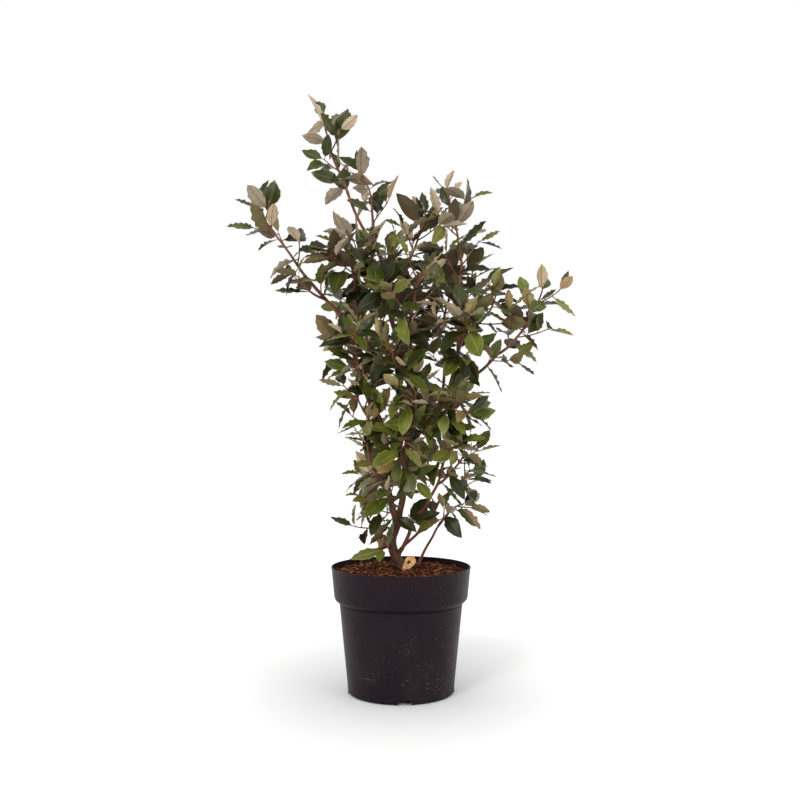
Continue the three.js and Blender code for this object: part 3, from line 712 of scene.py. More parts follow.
# How the kinds are dealt to old, middling and young leaves, and to those at the foot and the top. Old leaves,
# deeper in the crown, get more of the dark kinds, partly as painted shade. The leaves at the foot get more of
# the bright kinds, as painted light that makes up for the crown's shade over them.
KIND_SHARES = {
    "low": (("deep", 0.12), ("dark", 0.13), ("mid", 0.21), ("fresh", 0.30), ("olive", 0.18), ("tan", 0.06)),
    "old": (("deep", 0.46), ("dark", 0.26), ("mid", 0.14), ("fresh", 0.06), ("olive", 0.08)),
    "middling": (("deep", 0.28), ("dark", 0.22), ("mid", 0.20), ("fresh", 0.16), ("olive", 0.14)),
    "young": (("dark", 0.16), ("mid", 0.20), ("fresh", 0.24), ("olive", 0.24), ("tan", 0.16)),
    "high": (("dusky", 0.64), ("rosy", 0.34), ("olive", 0.02)),
    "high_young": (("dusky", 0.30), ("rosy", 0.42), ("olive", 0.18), ("tan", 0.10)),
}
TOP_HEIGHTS = (680, 820)  # the leaves of the crown's top set in between these heights
LOW_HEIGHTS = (380, 640)  # and those of its foot give way between these
MIDDLING, YOUNG, YOUNG_ON_TOP = 0.45, 0.8, 0.75  # how far along its twig a leaf counts as such


def kind_of(youth, height, chance, other):
    """The kind of a leaf, picked by two draws. Youth runs from 0 at the foot of a twig to 1 at its tip."""
    if other < smooth_step(height, *TOP_HEIGHTS):
        age = "high" if youth < YOUNG_ON_TOP else "high_young"
    elif other < 1 - smooth_step(height, *LOW_HEIGHTS):
        age = "low"
    else:
        age = "old" if youth < MIDDLING else "middling" if youth < YOUNG else "young"
    for kind, part in KIND_SHARES[age]:
        chance -= part
        if chance < 0:
            return kind
    return KIND_SHARES[age][0][0]


# How leaves stand, in degrees and millimetres. Leaves at the crown's top stand more upright and turn every
# way, and those at its foot hang. The second of OLD_ANGLE, ANGLE_SCATTER, ROLL and HEIGHT_LENGTH is for the
# top, and the second of DROOP for the foot.
LIFTED, HANGING, LONGER = (670, 830), (300, 480), (620, 760)  # heights between which each of these changes
OLD_ANGLE, YOUNG_ANGLE, ANGLE_SCATTER = (80, 62), 36, (36, 54)
ROLL = (64, 180)
DROOP, TOP_DROOP, DROOP_VARIES = (0.26, 0.46), 0.12, (0.1, 1.8)
AGE_LENGTH, HEIGHT_LENGTH = (1.05, 0.72), (0.87, 0.94)  # the first pair is for the oldest and the youngest
LENGTH_VARIES, WIDTH_VARIES = (0.78, 0.44), (0.88, 0.24)
UPWARD = 0.7  # how much the upper side of a leaf turns to the sky
LEAF_SHAPE = 0.43  # width of a blade over its length
# Points of a blade: how far along its length, and how far aside over half its width.
BLADE = ((0.14, 0), (0.36, 0.9), (0.72, 0.75), (1, 0), (0.72, -0.75), (0.36, -0.9), (0.52, 0))
MIDDLE = 6  # the last of those points of a blade, on its rib
BLADE_FANS = [(n, (n + 1) % MIDDLE, MIDDLE) for n in range(MIDDLE)]


class Leaf:
    """One leaf: where its stalk starts, the way it points, the way its upper side faces, and its size."""

    def __init__(self, shoot, part, youth, side, chances, scale):
        curve = shoot.curve
        axis = curve.tangent(part)
        self.root = curve.point(part)
        lift = smooth_step(self.root.z, *LIFTED)
        low = 1 - smooth_step(self.root.z, *HANGING)
        angle = mix(mix(*OLD_ANGLE, lift), YOUNG_ANGLE, youth)
        angle = math.radians(angle + mix(*ANGLE_SCATTER, lift) * (chances[0] - 0.5))
        self.length = scale * mix(*AGE_LENGTH, youth) * vary(LENGTH_VARIES, chances[1])
        self.length *= mix(*HEIGHT_LENGTH, smooth_step(self.root.z, *LONGER))
        self.width = vary(WIDTH_VARIES, chances[2])
        along = axis * math.cos(angle) + curve.sideways(part, side * TURN / 3) * math.sin(angle)
        along.z -= mix(mix(mix(*DROOP, low), TOP_DROOP, lift) * vary(DROOP_VARIES, chances[4]), 0, youth)
        self.along = along.normalized()
        up = axis + Z_AXIS * UPWARD
        up = (up - self.along * up.dot(self.along)).normalized()
        self.up = Quaternion(self.along, math.radians(mix(*ROLL, lift) * (chances[3] - 0.5))) @ up
        self.across = self.along.cross(self.up)

    def corners(self):
        """A few points of the blade's outline, and one on its rib."""
        half = 0.5 * self.length * LEAF_SHAPE * self.width
        return [self.root + self.along * (forward * self.length) + self.across * (aside * half)
                for forward, aside in BLADE]


LIMB_CLEARANCE = 1.2  # from a blade to the surface of a limb or another twig, in millimetres
OVERHANG = 4  # how far outside the box of the solids the tip of a leaf may point, in millimetres. Its bend and
# the twigs' crookedness come on top of that.
SHRINK = (1, 0.86, 0.7)  # sizes that are tried for a leaf, each on three sides of its twig


class Thicket:
    """What is already in the crown's space, so that new leaves can be kept clear of it."""

    def __init__(self):
        self.wood = np.empty((0, 3))
        self.girth = np.empty(0)
        self.owner = np.empty(0, int)
        self.blades = []
        self.centres = np.empty((0, 3))

    def add_wood(self, owner, points, radii):
        self.wood = np.vstack([self.wood, [tuple(p) for p in points]])
        self.girth = np.concatenate([self.girth, radii])
        self.owner = np.concatenate([self.owner, [owner] * len(radii)])

    def is_clear(self, leaf, own):
        """The leaf's blade as a tree of faces if it touches nothing, or None."""
        corners = leaf.corners()
        middle = np.array(corners[MIDDLE])
        near = (np.abs(self.wood - middle).max(axis=1) < leaf.length) & (self.owner != own)
        if near.any():
            tests = np.array([tuple(p) for p in corners[1:]])
            gaps = np.linalg.norm(tests[:, None] - self.wood[near][None], axis=2) - self.girth[near]
            if gaps.min() < LIMB_CLEARANCE:
                return None
        tree = BVHTree.FromPolygons(corners, BLADE_FANS)
        if self.blades:
            for n in np.flatnonzero(np.abs(self.centres - middle).max(axis=1) < leaf.length):
                if tree.overlap(self.blades[n]):
                    return None
        return tree

    def add_blade(self, leaf, tree):
        self.blades.append(tree)
        self.centres = np.vstack([self.centres, np.array(leaf.corners()[MIDDLE])])


def outside(point):
    """How far a point lies outside the box of the solids, in millimetres."""
    low, high = CAD_BOX
    return max(max(low[n] / MM - point[n], point[n] - high[n] / MM) for n in range(3))


def bears(shoot, stem, reach, thicket, draw, spacing, full):
    """The leaves of a shoot. One that would touch anything is turned, then shrunk, and at last left out."""
    total = max(2, round(shoot.curve.length * (1 - shoot.bare) / spacing))
    first_side = math.floor(3 * draw())
    leaves = []
    for n in range(total + 2):
        part = min(TIP_SHARE, mix(shoot.bare, TIP_SHARE, n / total))
        chances = [draw() for _ in range(5)]
        youth = n / (total + 1)
        for attempt in range(3 * len(SHRINK)):
            leaf = Leaf(shoot, part, youth, first_side + n + attempt, chances, full * SHRINK[attempt // 3])
            tip = leaf.root + leaf.along * leaf.length
            if min((point - tip).length for point in stem) > reach or outside(tip) > OVERHANG:
                continue
            tree = thicket.is_clear(leaf, shoot.number)
            if tree:
                thicket.add_blade(leaf, tree)
                leaf.kind = kind_of(youth, leaf.root.z, draw(), draw())
                leaves.append(leaf)
                shoot.nodes.append(part)
                break
    return leaves


def woody_thicket(shoots):
    """The space of the crown with all its wood in place and no leaf yet."""
    thicket = Thicket()
    for name in LIMBS:
        curve = limb_curve(name)
        parts = np.linspace(0, 1, max(3, round(curve.length / LIMB_SAMPLE)))
        thicket.add_wood(-1, [curve.point(t) for t in parts], [limb_radius(name, t) for t in parts])
    thicket.add_wood(-1, *dead_twig_path())
    for number, shoot in enumerate(shoots):
        curve = shoot.curve
        parts = np.linspace(0, 1, max(3, round(curve.length / TWIG_SAMPLE)))
        shoot.number = number
        thicket.add_wood(number, [curve.point(t) for t in parts], [mix(*shoot.radius, t) for t in parts])
    return thicket


@cache
def crown():
    """Every twig and leaf of the crown, grown once for the twigs and the leaves."""
    settings = bpy.context.scene.shrub_leaf
    masses = {name: mass_shoots(name) for name in MASSES}
    shoots = [shoot for mass in masses.values() for shoot in mass]
    thicket = woody_thicket(shoots)
    leaves = []
    for index, (name, mass) in enumerate(masses.items()):
        draw = seeded(LEAF_SEED + index)
        spacing = settings.internode / MM * MASSES[name].spacing
        stem = [mass[0].curve.point(t) for t in np.linspace(0, 1, STEM_SAMPLES)]
        reach = MASSES[name].length + REACH
        for shoot in mass:
            leaves += bears(shoot, stem, reach, thicket, draw, spacing, settings.size / MM)
    return shoots, leaves


def shoot_path(shoot):
    """Points and radii of a twig, thicker at the joints that bear its leaves."""
    curve = shoot.curve
    steps = max(3, round(curve.length / TWIG_STEP))
    parts = [step / steps for step in range(steps + 1)]
    radii = []
    for part in parts:
        places = [(part - node) * curve.length / JOINT_WIDTH for node in shoot.nodes]
        joint = max((math.exp(-place ** 2) for place in places), default=0)
        radii.append(mix(*shoot.radius, part) * (1 + JOINT_SWELL * joint))
    return [curve.point(part) for part in parts], radii


def threads(name, paths):
    """A mesh of bare lines with their radii, for the tube nodes to follow."""
    points, edges, girth = [], [], []
    for path, radii in paths:
        first = len(points)
        points += [wander(point) * MM for point in path]
        girth += [radius * MM for radius in radii]
        edges += [(n, n + 1) for n in range(first, len(points) - 1)]
    mesh = bpy.data.meshes.new(name)
    mesh.from_pydata(points, edges, [])
    mesh.attributes.new("girth", "FLOAT", "POINT").data.foreach_set("value", girth)
    return linked(f"{name}_lines", mesh)


BARK_RIDGES = 420.0  # scale of the ridges' noise
GRAIN_STRETCH = 0.16  # how short the grain's noise is along a limb
THIN_TO_THICK = (0.0015, 0.007)  # radii between which the ridges come to their full height
LEAST_RIDGE = 0.25
YOUNG_TO_OLD = (0.0026, 0.0060)  # radii between which the bark turns from smooth to furrowed
FINE_SIDES, FINE_STEP = 7, 0.003  # of the twigs' tubes
THICK = 4  # a limb of more than this radius at its foot is made with the trunk and its leaders


@cache
def tube_tree():
    """Round limbs along lines, with ridges of bark that run their length."""
    wiring, given, result = geometry_tree(
        "Bark tubes", Sides="Int", Step="Float", Relief="Float", Ridges="Float", Bark="Material")
    spline = wiring.geometry("SplineParameter").outputs
    lines = wiring.geometry("MeshToCurve", {"Mesh": given["Geometry"]})
    lines = wiring.geometry("CurveSplineType", {"Curve": lines}, spline_type="CATMULL_ROM")
    lines = wiring.geometry("ResampleCurve", {"Curve": lines, "Length": given["Step"]}, mode="LENGTH")
    lines = wiring.store(lines, "run", spline["Length"])
    ring = wiring.geometry("CurvePrimitiveCircle", {"Resolution": given["Sides"], "Radius": 1.0})
    ring = wiring.store(ring, "turn", spline["Factor"])
    girth = wiring.attribute("girth")
    tubes = wiring.geometry("CurveToMesh", {
        "Curve": lines, "Profile Curve": ring, "Scale": girth, "Fill Caps": True})
    angle = wiring.times(wiring.attribute("turn"), TURN)
    across = [wiring.times(wiring.math(way, angle), girth) for way in ("COSINE", "SINE")]
    grain = wiring.join(*across, wiring.times(wiring.attribute("run"), GRAIN_STRETCH))
    tubes = wiring.store(tubes, "grain", grain, "FLOAT_VECTOR")
    ridges = wiring.noise(wiring.attribute("grain", "FLOAT_VECTOR"), given["Ridges"], 3.0, 0.6)
    height = wiring.times(wiring.math("SUBTRACT", ridges, 0.5), given["Relief"])
    height = wiring.times(height, wiring.between(girth, *THIN_TO_THICK, LEAST_RIDGE, 1.0))
    offset = wiring.vector("SCALE", wiring.geometry("InputNormal"), height)
    tubes = wiring.geometry("SetPosition", {"Geometry": tubes, "Offset": offset})
    tubes = wiring.geometry("SetShadeSmooth", {"Geometry": tubes})
    return wiring.finish(result, tubes, given["Bark"])


@cache
def bark_material():
    """Grey-brown and furrowed where a limb is thick, smooth and reddish where it is thin."""
    s = bpy.context.scene.shrub_bark

    def paint(wiring, place):
        girth = wiring.add("ShaderNodeAttribute", attribute_name="girth").outputs["Fac"]
        grain = wiring.add("ShaderNodeAttribute", attribute_name="grain").outputs["Vector"]
        age = wiring.between(girth, *YOUNG_TO_OLD)
        streaks = wiring.noise(grain, 900.0, 5.0, 0.65)
        old = wiring.blend(wiring.between(streaks, 0.36, 0.62), s.furrow, s.old)
        young = wiring.group(mottle, Vector=place, Colour=s.young, Other=s.blush, Scale=60.0, Spread=0.16)
        coloured = wiring.blend(age, young.outputs["Colour"], old)
        flecks = wiring.group(specks, Vector=place, Scale=420.0, Size=0.3, Share=0.22)
        return {
            "Base Color": wiring.blend(wiring.times(flecks, 0.25), coloured, s.fleck),
            "Roughness": wiring.between(age, 0.0, 1.0, 0.48, 0.66),
            "Specular IOR Level": 0.2,
            "Normal": wiring.bump(0.7, 0.0006, streaks),
        }
    return material("silverberry_bark", paint)


def tubes(name, paths, sides, step, depth):
    """A piece of bark-covered tubes along some paths."""
    values = {"Sides": sides, "Step": step, "Relief": depth, "Ridges": BARK_RIDGES, "Bark": bark_material()}
    return grown(name, threads(name, paths), tube_tree(), values)


class SHRUB_OT_limbs(bpy.types.Operator):
    """Makes the trunk and the boughs with the relief of their bark"""
    bl_idname = "shrub.limbs"
    bl_label = "Trunk and boughs"

    def execute(self, context):
        s = context.scene.shrub_bark
        thick = [name for name, limb in LIMBS.items() if limb.radius[0] > THICK]
        thin = [name for name in LIMBS if name not in thick]
        for piece, names, loose in (("trunk_and_leaders", thick, []), ("boughs", thin, [dead_twig_path()])):
            paths = [limb_path(name) for name in names] + loose
            hand_over(tubes(piece, paths, s.sides, s.step, s.relief), "bark", *names)
        return {"FINISHED"}


class SHRUB_OT_twigs(bpy.types.Operator):
    """Makes the stems, side shoots and finer twigs of the foliage"""
    bl_idname = "shrub.twigs"
    bl_label = "Twigs"

    def execute(self, context):
        depth = context.scene.shrub_bark.relief / 2
        paths = [shoot_path(shoot) for shoot in crown()[0]]
        hand_over(tubes("twigs", paths, FINE_SIDES, FINE_STEP, depth), "bark", *MASS_NODES)
        return {"FINISHED"}


# Leaves

ROWS = (0, 0.13, 0.21, 0.31, 0.41, 0.51, 0.61, 0.71, 0.81, 0.91)  # along a leaf, which ends in a point at 1
STALK_END = 0.13
STALK_HALF = 0.013  # half the width of the stalk, over the leaf's length
RIB_HALF = 0.011
RIB_DEPTH = 0.016
RIM_START = 0.89  # where the pale rim of the blade begins, over half its width
RIM_RISE = 0.006
MIDRIB = 0.05  # half the width of the pale line along the middle, over half the blade's
COLUMNS = (-1, -RIM_START, -MIDRIB, MIDRIB, RIM_START, 1)
TOP, UNDER, RIB, RIM = range(4)  # the skins of a leaf, as its faces are marked
SKINS = {"Top": 0.76, "Under": 0.84, "Rib": 0.85, "Rim": 0.8}  # and the shade of each one's second colour
LEAF_SHAPES = 12
SHAPE_SEED, DEALING_SEED = 60, 77


def leaf_shape(number):
    """A closed leaf of unit length along +Y, upper side up: crinkled at its edges, folded and bent."""
    draw = seeded(number + SHAPE_SEED)
    bend = mix(-0.14, 0.26, draw())
    fold = mix(0.02, 0.5, draw())
    curl = mix(-0.12, 0.12, draw())
    twist = mix(-0.6, 0.6, draw())
    depth = mix(0.016, 0.040, draw())
    fullness = mix(0.68, 1.05, draw())
    plump = mix(0.86, 1.14, draw())
    crinkles = [[(-1) ** (n + way) * mix(0.25, 1, draw()) for n in range(len(ROWS))]
                for way in (0, number % 2)]

    def spot(n, aside):
        t = ROWS[n] if n < len(ROWS) else 1
        u = (t - STALK_END) / (1 - STALK_END)
        blade = 0.5 * math.sin(math.pi * min(1, max(0, u)) ** 0.9) ** fullness if u > 0 else 0
        wave = crinkles[aside > 0][n] if 0 < u < 1 else 0
        half = max(STALK_HALF, LEAF_SHAPE * plump * blade * (1 + 0.07 * wave))
        x = aside * half
        height = abs(aside) * (fold * half * min(1, 5 * max(0, u)) + depth * wave * min(1, half / 0.12))
        height += RIM_RISE if abs(aside) == RIM_START else 0
        cos, sin = math.cos(twist * max(0, u)), math.sin(twist * max(0, u))
        x, height = x * cos - height * sin, x * sin + height * cos
        return Vector((x + curl * t * t, t * (1 - 0.35 * bend * bend * t), height - bend * t * t))

    points, faces, sides = [], [], []
    for n, t in enumerate(ROWS):
        points += [spot(n, aside) for aside in COLUMNS]
        points += [spot(n, 0) + Vector((x, 0, -RIB_DEPTH * (1.1 - t))) for x in (-RIB_HALF, RIB_HALF)]
    row = len(COLUMNS) + 2
    tip = len(points)
    points.append(spot(len(ROWS), 0))
    over, beneath = (0, 1, 2, 3, 4, 5), (5, 7, 6, 0)
    for n in range(len(ROWS)):
        here, ahead, last = n * row, (n + 1) * row, n == len(ROWS) - 1
        for a, b in zip(over, over[1:]):
            faces.append((here + a, here + b, tip) if last else (here + a, here + b, ahead + b, ahead + a))
            sides.append(RIB if n == 0 else TOP if (a, b) in ((1, 2), (3, 4)) else RIM)
        for a, b in zip(beneath, beneath[1:]):
            faces.append((here + b, tip, here + a) if last else (here + b, ahead + b, ahead + a, here + a))
            sides.append(RIB if n == 0 or (a, b) == (7, 6) else UNDER)
    faces.append((5, 4, 3, 2, 1, 0, 6, 7))
    sides.append(RIB)
    made = mesh_object(f"leaf_shape_{number}", points, faces)
    made.data.attributes.new("skin", "INT", "FACE").data.foreach_set("value", sides)
    border = {frozenset((n * row + c, (n + 1) * row + c)) for n in range(len(ROWS) - 1) for c in (0, 5)}
    border |= {frozenset(((len(ROWS) - 1) * row + c, tip)) for c in (0, 5)}
    sharp = [frozenset(edge.vertices) in border for edge in made.data.edges]
    made.data.attributes.new("sharp_edge", "BOOLEAN", "EDGE").data.foreach_set("value", sharp)
    return made


@cache
def spray_tree():
    """Leaves set on points, each with its own shape, turn and size."""
    wiring, given, result = geometry_tree(
        "Leaf sprays", Shapes="Collection", **{skin: "Material" for skin in SKINS})
    shapes = wiring.geometry("CollectionInfo", {
        "Collection": given["Shapes"], "Separate Children": True, "Reset Children": True})
    leaves = wiring.geometry("InstanceOnPoints", {
        "Points": given["Geometry"], "Instance": shapes, "Pick Instance": True,
        "Instance Index": wiring.attribute("shape", "INT"),
        "Rotation": wiring.attribute("turn", "QUATERNION"),
        "Scale": wiring.attribute("size", "FLOAT_VECTOR")})
    leaves = wiring.geometry("RealizeInstances", {"Geometry": leaves})
    marks = wiring.attribute("skin", "INT")
    for number, skin in enumerate(SKINS):
        chosen = wiring.add(
            "FunctionNodeCompare", {"A": marks, "B": number}, data_type="INT", operation="EQUAL")
        leaves = wiring.geometry("SetMaterial", {
            "Geometry": leaves, "Selection": chosen, "Material": given[skin]})
    wiring.feed(result["Geometry"], leaves)
    return wiring.tree


def dotted(name, places, turns, sizes, shapes):
    """A mesh of bare points that say where, which way and how large."""
    mesh = bpy.data.meshes.new(name)
    mesh.from_pydata([tuple(p) for p in places], [], [])
    mesh.attributes.new("turn", "QUATERNION", "POINT").data.foreach_set("value", np.ravel(turns))
    mesh.attributes.new("size", "FLOAT_VECTOR", "POINT").data.foreach_set("vector", np.ravel(sizes))
    mesh.attributes.new("shape", "INT", "POINT").data.foreach_set("value", shapes)
    return linked(f"{name}_points", mesh)


def leaf_turn(leaf):
    return Matrix((leaf.across, leaf.along, leaf.up)).transposed().to_quaternion()


def darker(levels, part):
    return tuple(level * part for level in levels)


class SHRUB_OT_leaves(bpy.types.Operator):
    """Makes the leaves, each kind apart, green above and silvery beneath"""
    bl_idname = "shrub.leaves"
    bl_label = "Leaves"

    def execute(self, context):
        leaves = crown()[1]
        shapes = bpy.data.collections.new("leaf_shapes")
        models = [leaf_shape(number) for number in range(LEAF_SHAPES)]
        for model in models:
            context.scene.collection.objects.unlink(model)
            shapes.objects.link(model)
        draw = seeded(DEALING_SEED)
        dealt = [math.floor(LEAF_SHAPES * draw()) for _ in leaves]
        for kind, colours in KINDS.items():
            own = [(leaf, shape) for leaf, shape in zip(leaves, dealt) if leaf.kind == kind]
            if not own:
                raise RuntimeError(f"no leaf is {kind}")
            points = dotted(
                f"leaves_{kind}",
                [wander(leaf.root) * MM for leaf, _ in own],
                [tuple(leaf_turn(leaf)) for leaf, _ in own],
                [(leaf.length * leaf.width * MM, leaf.length * MM, leaf.length * MM) for leaf, _ in own],
                [shape for _, shape in own])
            values = {"Shapes": shapes}
            for (skin, shade), levels in zip(SKINS.items(), colours):
                name = skin.lower()
                other = tint(*darker(levels, shade))
                values[skin] = mottled(f"leaf_{name}_{kind}", name, tint(*levels), other)
            hand_over(grown(f"leaves_{kind}", points, spray_tree(), values), "foliage", *MASS_NODES)
        for model in models:
            bpy.data.objects.remove(model)
        bpy.data.collections.remove(shapes)
        return {"FINISHED"}


# Pot and soil

CHANNELS = 4
CHANNEL_TURN = 3.7  # degrees that the front channel stands to the right of the middle
CHANNEL_FOOT, CHANNEL_TOP = 0.024, 0.019  # its width at the ground and at its top
CHANNEL_HEIGHT = 0.008
CHANNEL_START = 0.052  # from the pot's axis
DRAIN_RADIUS, DRAIN_PLACE, DRAIN_SIDES = 0.0045, 0.070, 24
GAP = 0.0003  # between the soil and the plastic
POT_SIDES, SOIL_SIDES, SOIL_RINGS = 144, 132, 44
FOOT_EDGE = 0.003
GROOVE = 0.0022  # height of the fine groove under the collar
GROOVE_EDGE = 0.0002  # how far the body is in below the groove, and out above it
COLLAR_IN, COLLAR_DOWN, COLLAR_UP = 0.002, 0.001, 0.003  # the slope at the collar's lower edge
LIP_EXTRA = 0.0006  # how far the lip stands out on either side of the wall
SOFTEST, SOFT, MILD, ROUND, CRISP = 0.003, 0.002, 0.0015, 0.0009, 0.0003  # how far an edge is eased
LIP_EASE, FLOOR_EASE = 0.0004, 0.001
PAST_FOOT, BELOW_GROUND = 0.01, -0.001  # how far the bars that cut the channels stick out
POT_CREASE, SOIL_CREASE, STUB_CREASE = 38, 60, 40  # degrees from which an edge stays crisp
MOUND = 0.072  # radius inside which the soil is at its highest
MOUND_POWER = 0.7  # below 1, the mound rises faster near the wall
SOIL_BLEND = 0.008  # width of the ring at the wall in which the soil's roughness sets in
NEAR = 0.001  # points nearer the wall than this, or farther under the soil's edge, stay smooth


def eased(profile):
    """A profile of (radius, height, easing) with each corner rounded off over its easing."""
    points = []
    for n, (radius, height, ease) in enumerate(profile):
        corner = Vector((radius, height))
        if not ease:
            points.append(corner)
            continue
        sides = [Vector(profile[n + way][:2]) - corner for way in (-1, 1)]
        start, end = (corner + side.normalized() * min(ease, side.length / 2.01) for side in sides)
        for t in (0, 0.25, 0.5, 0.75, 1):
            points.append(start * (1 - t) ** 2 + corner * (2 * t * (1 - t)) + end * t * t)
    return points


def lathe(name, profile, sides):
    """A closed turned object. Its profile starts and ends on the axis."""
    inner = profile[1:-1]
    points = [Vector((0, 0, profile[0][1])), Vector((0, 0, profile[-1][1]))]
    for side in range(sides):
        angle = TURN * side / sides
        points += [Vector((r * math.cos(angle), r * math.sin(angle), z)) for r, z in inner]
    faces = []
    for side in range(sides):
        here, beside = 2 + side * len(inner), 2 + (side + 1) % sides * len(inner)
        faces.append((0, beside, here))
        faces.append((1, here + len(inner) - 1, beside + len(inner) - 1))
        faces += [(here + n, beside + n, beside + n + 1, here + n + 1) for n in range(len(inner) - 1)]
    return mesh_object(name, points, faces)


def channel_bar(name, angle, start, end, foot, margin):
    """A bar with sloping sides that runs out along the pot's foot, wider than a channel by margin."""
    slope = (CHANNEL_FOOT - CHANNEL_TOP) / 2 / CHANNEL_HEIGHT
    half_foot = CHANNEL_FOOT / 2 + margin - slope * foot
    top = CHANNEL_HEIGHT + margin
    half_top = half_foot - slope * (top - foot)
    section = [(-half_foot, foot), (half_foot, foot), (half_top, top), (-half_top, top)]
    turn = Matrix.Rotation(angle, 3, "Z")
    points = [turn @ Vector((out, across, height)) for out in (start, end) for across, height in section]
    faces = [(0, 1, 2, 3), (7, 6, 5, 4), (0, 4, 5, 1), (1, 5, 6, 2), (2, 6, 7, 3), (3, 7, 4, 0)]
    return mesh_object(name, points, faces, smooth=False)


def drain(angle):
    """A round plug that cuts a hole through the top of a channel."""
    place = Vector((DRAIN_PLACE * math.cos(angle), DRAIN_PLACE * math.sin(angle), CHANNEL_HEIGHT / 2))
    sides = DRAIN_SIDES
    turns = [TURN * n / sides for n in range(sides)]
    points = [place + Vector((DRAIN_RADIUS * math.cos(turn), DRAIN_RADIUS * math.sin(turn), z))
              for z in (0, CHANNEL_HEIGHT) for turn in turns]
    faces = [tuple(range(sides - 1, -1, -1)), tuple(range(sides, 2 * sides))]
    faces += [(n, (n + 1) % sides, sides + (n + 1) % sides, sides + n) for n in range(sides)]
    return mesh_object("drain", points, faces, smooth=False)


def carved(name, body, joined=(), cut=()):
    """The body with some shapes joined to it and others cut from it."""
    for operation, tools in (("UNION", joined), ("DIFFERENCE", cut)):
        for tool in tools:
            modifier = body.modifiers.new("carving", "BOOLEAN")
            modifier.operation = operation
            modifier.object = tool
            modifier.solver = "MANIFOLD"
    made = settled(name, body)
    for tool in (*joined, *cut):
        bpy.data.objects.remove(tool)
    return made


def sharpen(piece, angle):
    """Marks the edges that stay crisp and shades the rest smooth."""
    mesh = piece.data
    mesh.polygons.foreach_set("use_smooth", [True] * len(mesh.polygons))
    mesh.set_sharp_from_angle(angle=math.radians(angle))


def channel_angles():
    return [math.radians(CHANNEL_TURN - 90 + n * 360 / CHANNELS) for n in range(CHANNELS)]


def channel_covers(settings, margin):
    grown_by = settings.wall + margin
    return [channel_bar("cover", angle, CHANNEL_START - grown_by, settings.foot_radius - settings.wall / 2,
                        settings.wall / 2, grown_by) for angle in channel_angles()]


def plastic_material(settings):
    """Satin black plastic with a fine grain, a little dust, a few pale specks and some fine scratches."""
    def paint(wiring, place):
        parts = wiring.split(place)
        clouds = wiring.noise(place, 16.0, 5.0, 0.6)
        low = wiring.between(parts["Z"], 0.0, 0.13, 1.0, 0.25)
        right = wiring.between(parts["X"], -0.05, 0.07, 0.25, 1.0)
        haze = wiring.times(wiring.between(clouds, 0.42, 0.8), wiring.times(low, 0.05))
        crumbs = wiring.group(specks, Vector=place, Scale=190.0, Size=0.2, Share=0.75)
        crumbs = wiring.times(crumbs, wiring.times(right, low))
        stretched = wiring.vector("MULTIPLY", place, (9.0, 9.0, 420.0))
        scratch = wiring.between(wiring.noise(stretched, 1.0, 2.0, 0.5), 0.70, 0.73)
        scratch = wiring.times(scratch, wiring.between(clouds, 0.5, 0.62, 0.0, 0.16))
        dusty = wiring.math("MAXIMUM", wiring.math("MAXIMUM", haze, scratch), wiring.times(crumbs, 0.6))
        return {
            "Base Color": wiring.blend(dusty, settings.plastic, settings.dust),
            "Roughness": wiring.between(clouds, *NOISE_SPAN, 0.38, 0.52),
            "Specular IOR Level": 0.13,
            "Normal": wiring.group(relief, Vector=place, Scale=900.0, Depth=0.00006),
        }
    return material("black_plastic", paint)


class SHRUB_OT_pot(bpy.types.Operator):
    """Makes the nursery pot with its collar, lip, drainage channels and holes"""
    bl_idname = "shrub.pot"
    bl_label = "Pot"

    def execute(self, context):
        s = context.scene.shrub_pot
        collar_foot = s.height - s.collar_depth
        shoulder_foot = collar_foot - s.shoulder_drop
        lip_foot = s.height - s.lip
        inside = s.rim_radius - s.wall - LIP_EXTRA
        profile = eased([
            (0, 0, 0),
            (s.foot_radius - FOOT_EDGE, 0, SOFT),
            (s.foot_radius, FOOT_EDGE, SOFTEST),
            (s.foot_radius, s.foot_band, SOFTEST),
            (s.body_radius - GROOVE_EDGE, shoulder_foot - GROOVE, CRISP),
            (s.body_radius - GROOVE / 2, shoulder_foot - GROOVE / 2, CRISP),
            (s.body_radius + GROOVE_EDGE, shoulder_foot, CRISP),
            (s.collar_radius - COLLAR_IN, collar_foot - COLLAR_DOWN, MILD),
            (s.collar_radius, collar_foot + COLLAR_UP, SOFT),
            (s.rim_radius - LIP_EXTRA, lip_foot, LIP_EXTRA),
            (s.rim_radius, lip_foot + LIP_EXTRA, LIP_EASE),
            (s.rim_radius, s.height, ROUND),
            (inside, s.height, ROUND),
            (inside, lip_foot, LIP_EXTRA),
            (s.collar_radius - s.wall, collar_foot + COLLAR_UP + s.wall, SOFT),
            (s.body_radius - s.wall, shoulder_foot + s.wall, SOFT),
            (s.foot_radius - s.wall, s.foot_band, SOFT),
            (s.foot_radius - s.wall, s.wall, FLOOR_EASE),
            (0, s.wall, 0),
        ])
        voids = [channel_bar("channel", angle, CHANNEL_START, s.foot_radius + PAST_FOOT, BELOW_GROUND, 0)
                 for angle in channel_angles()]
        voids += [drain(angle) for angle in channel_angles()]
        pot = carved("nursery_pot", lathe("pot_shell", profile, POT_SIDES), channel_covers(s, 0), voids)
        sharpen(pot, POT_CREASE)
        pot.data.materials.clear()
        pot.data.materials.append(plastic_material(s))
        hand_over(pot, "pot_plastic", "pot")
        return {"FINISHED"}


def soil_height(x, y, depth):
    """How far the compost's surface rises above a smooth mound, in metres."""
    bumps = (math.sin(x * 190 + 1) * math.sin(y * 170 + 2) * 0.4 + math.sin(x * 420 + y * 260) * 0.3
             + math.sin(y * 510 - x * 330 + 4) * 0.3)
    return bumps * depth


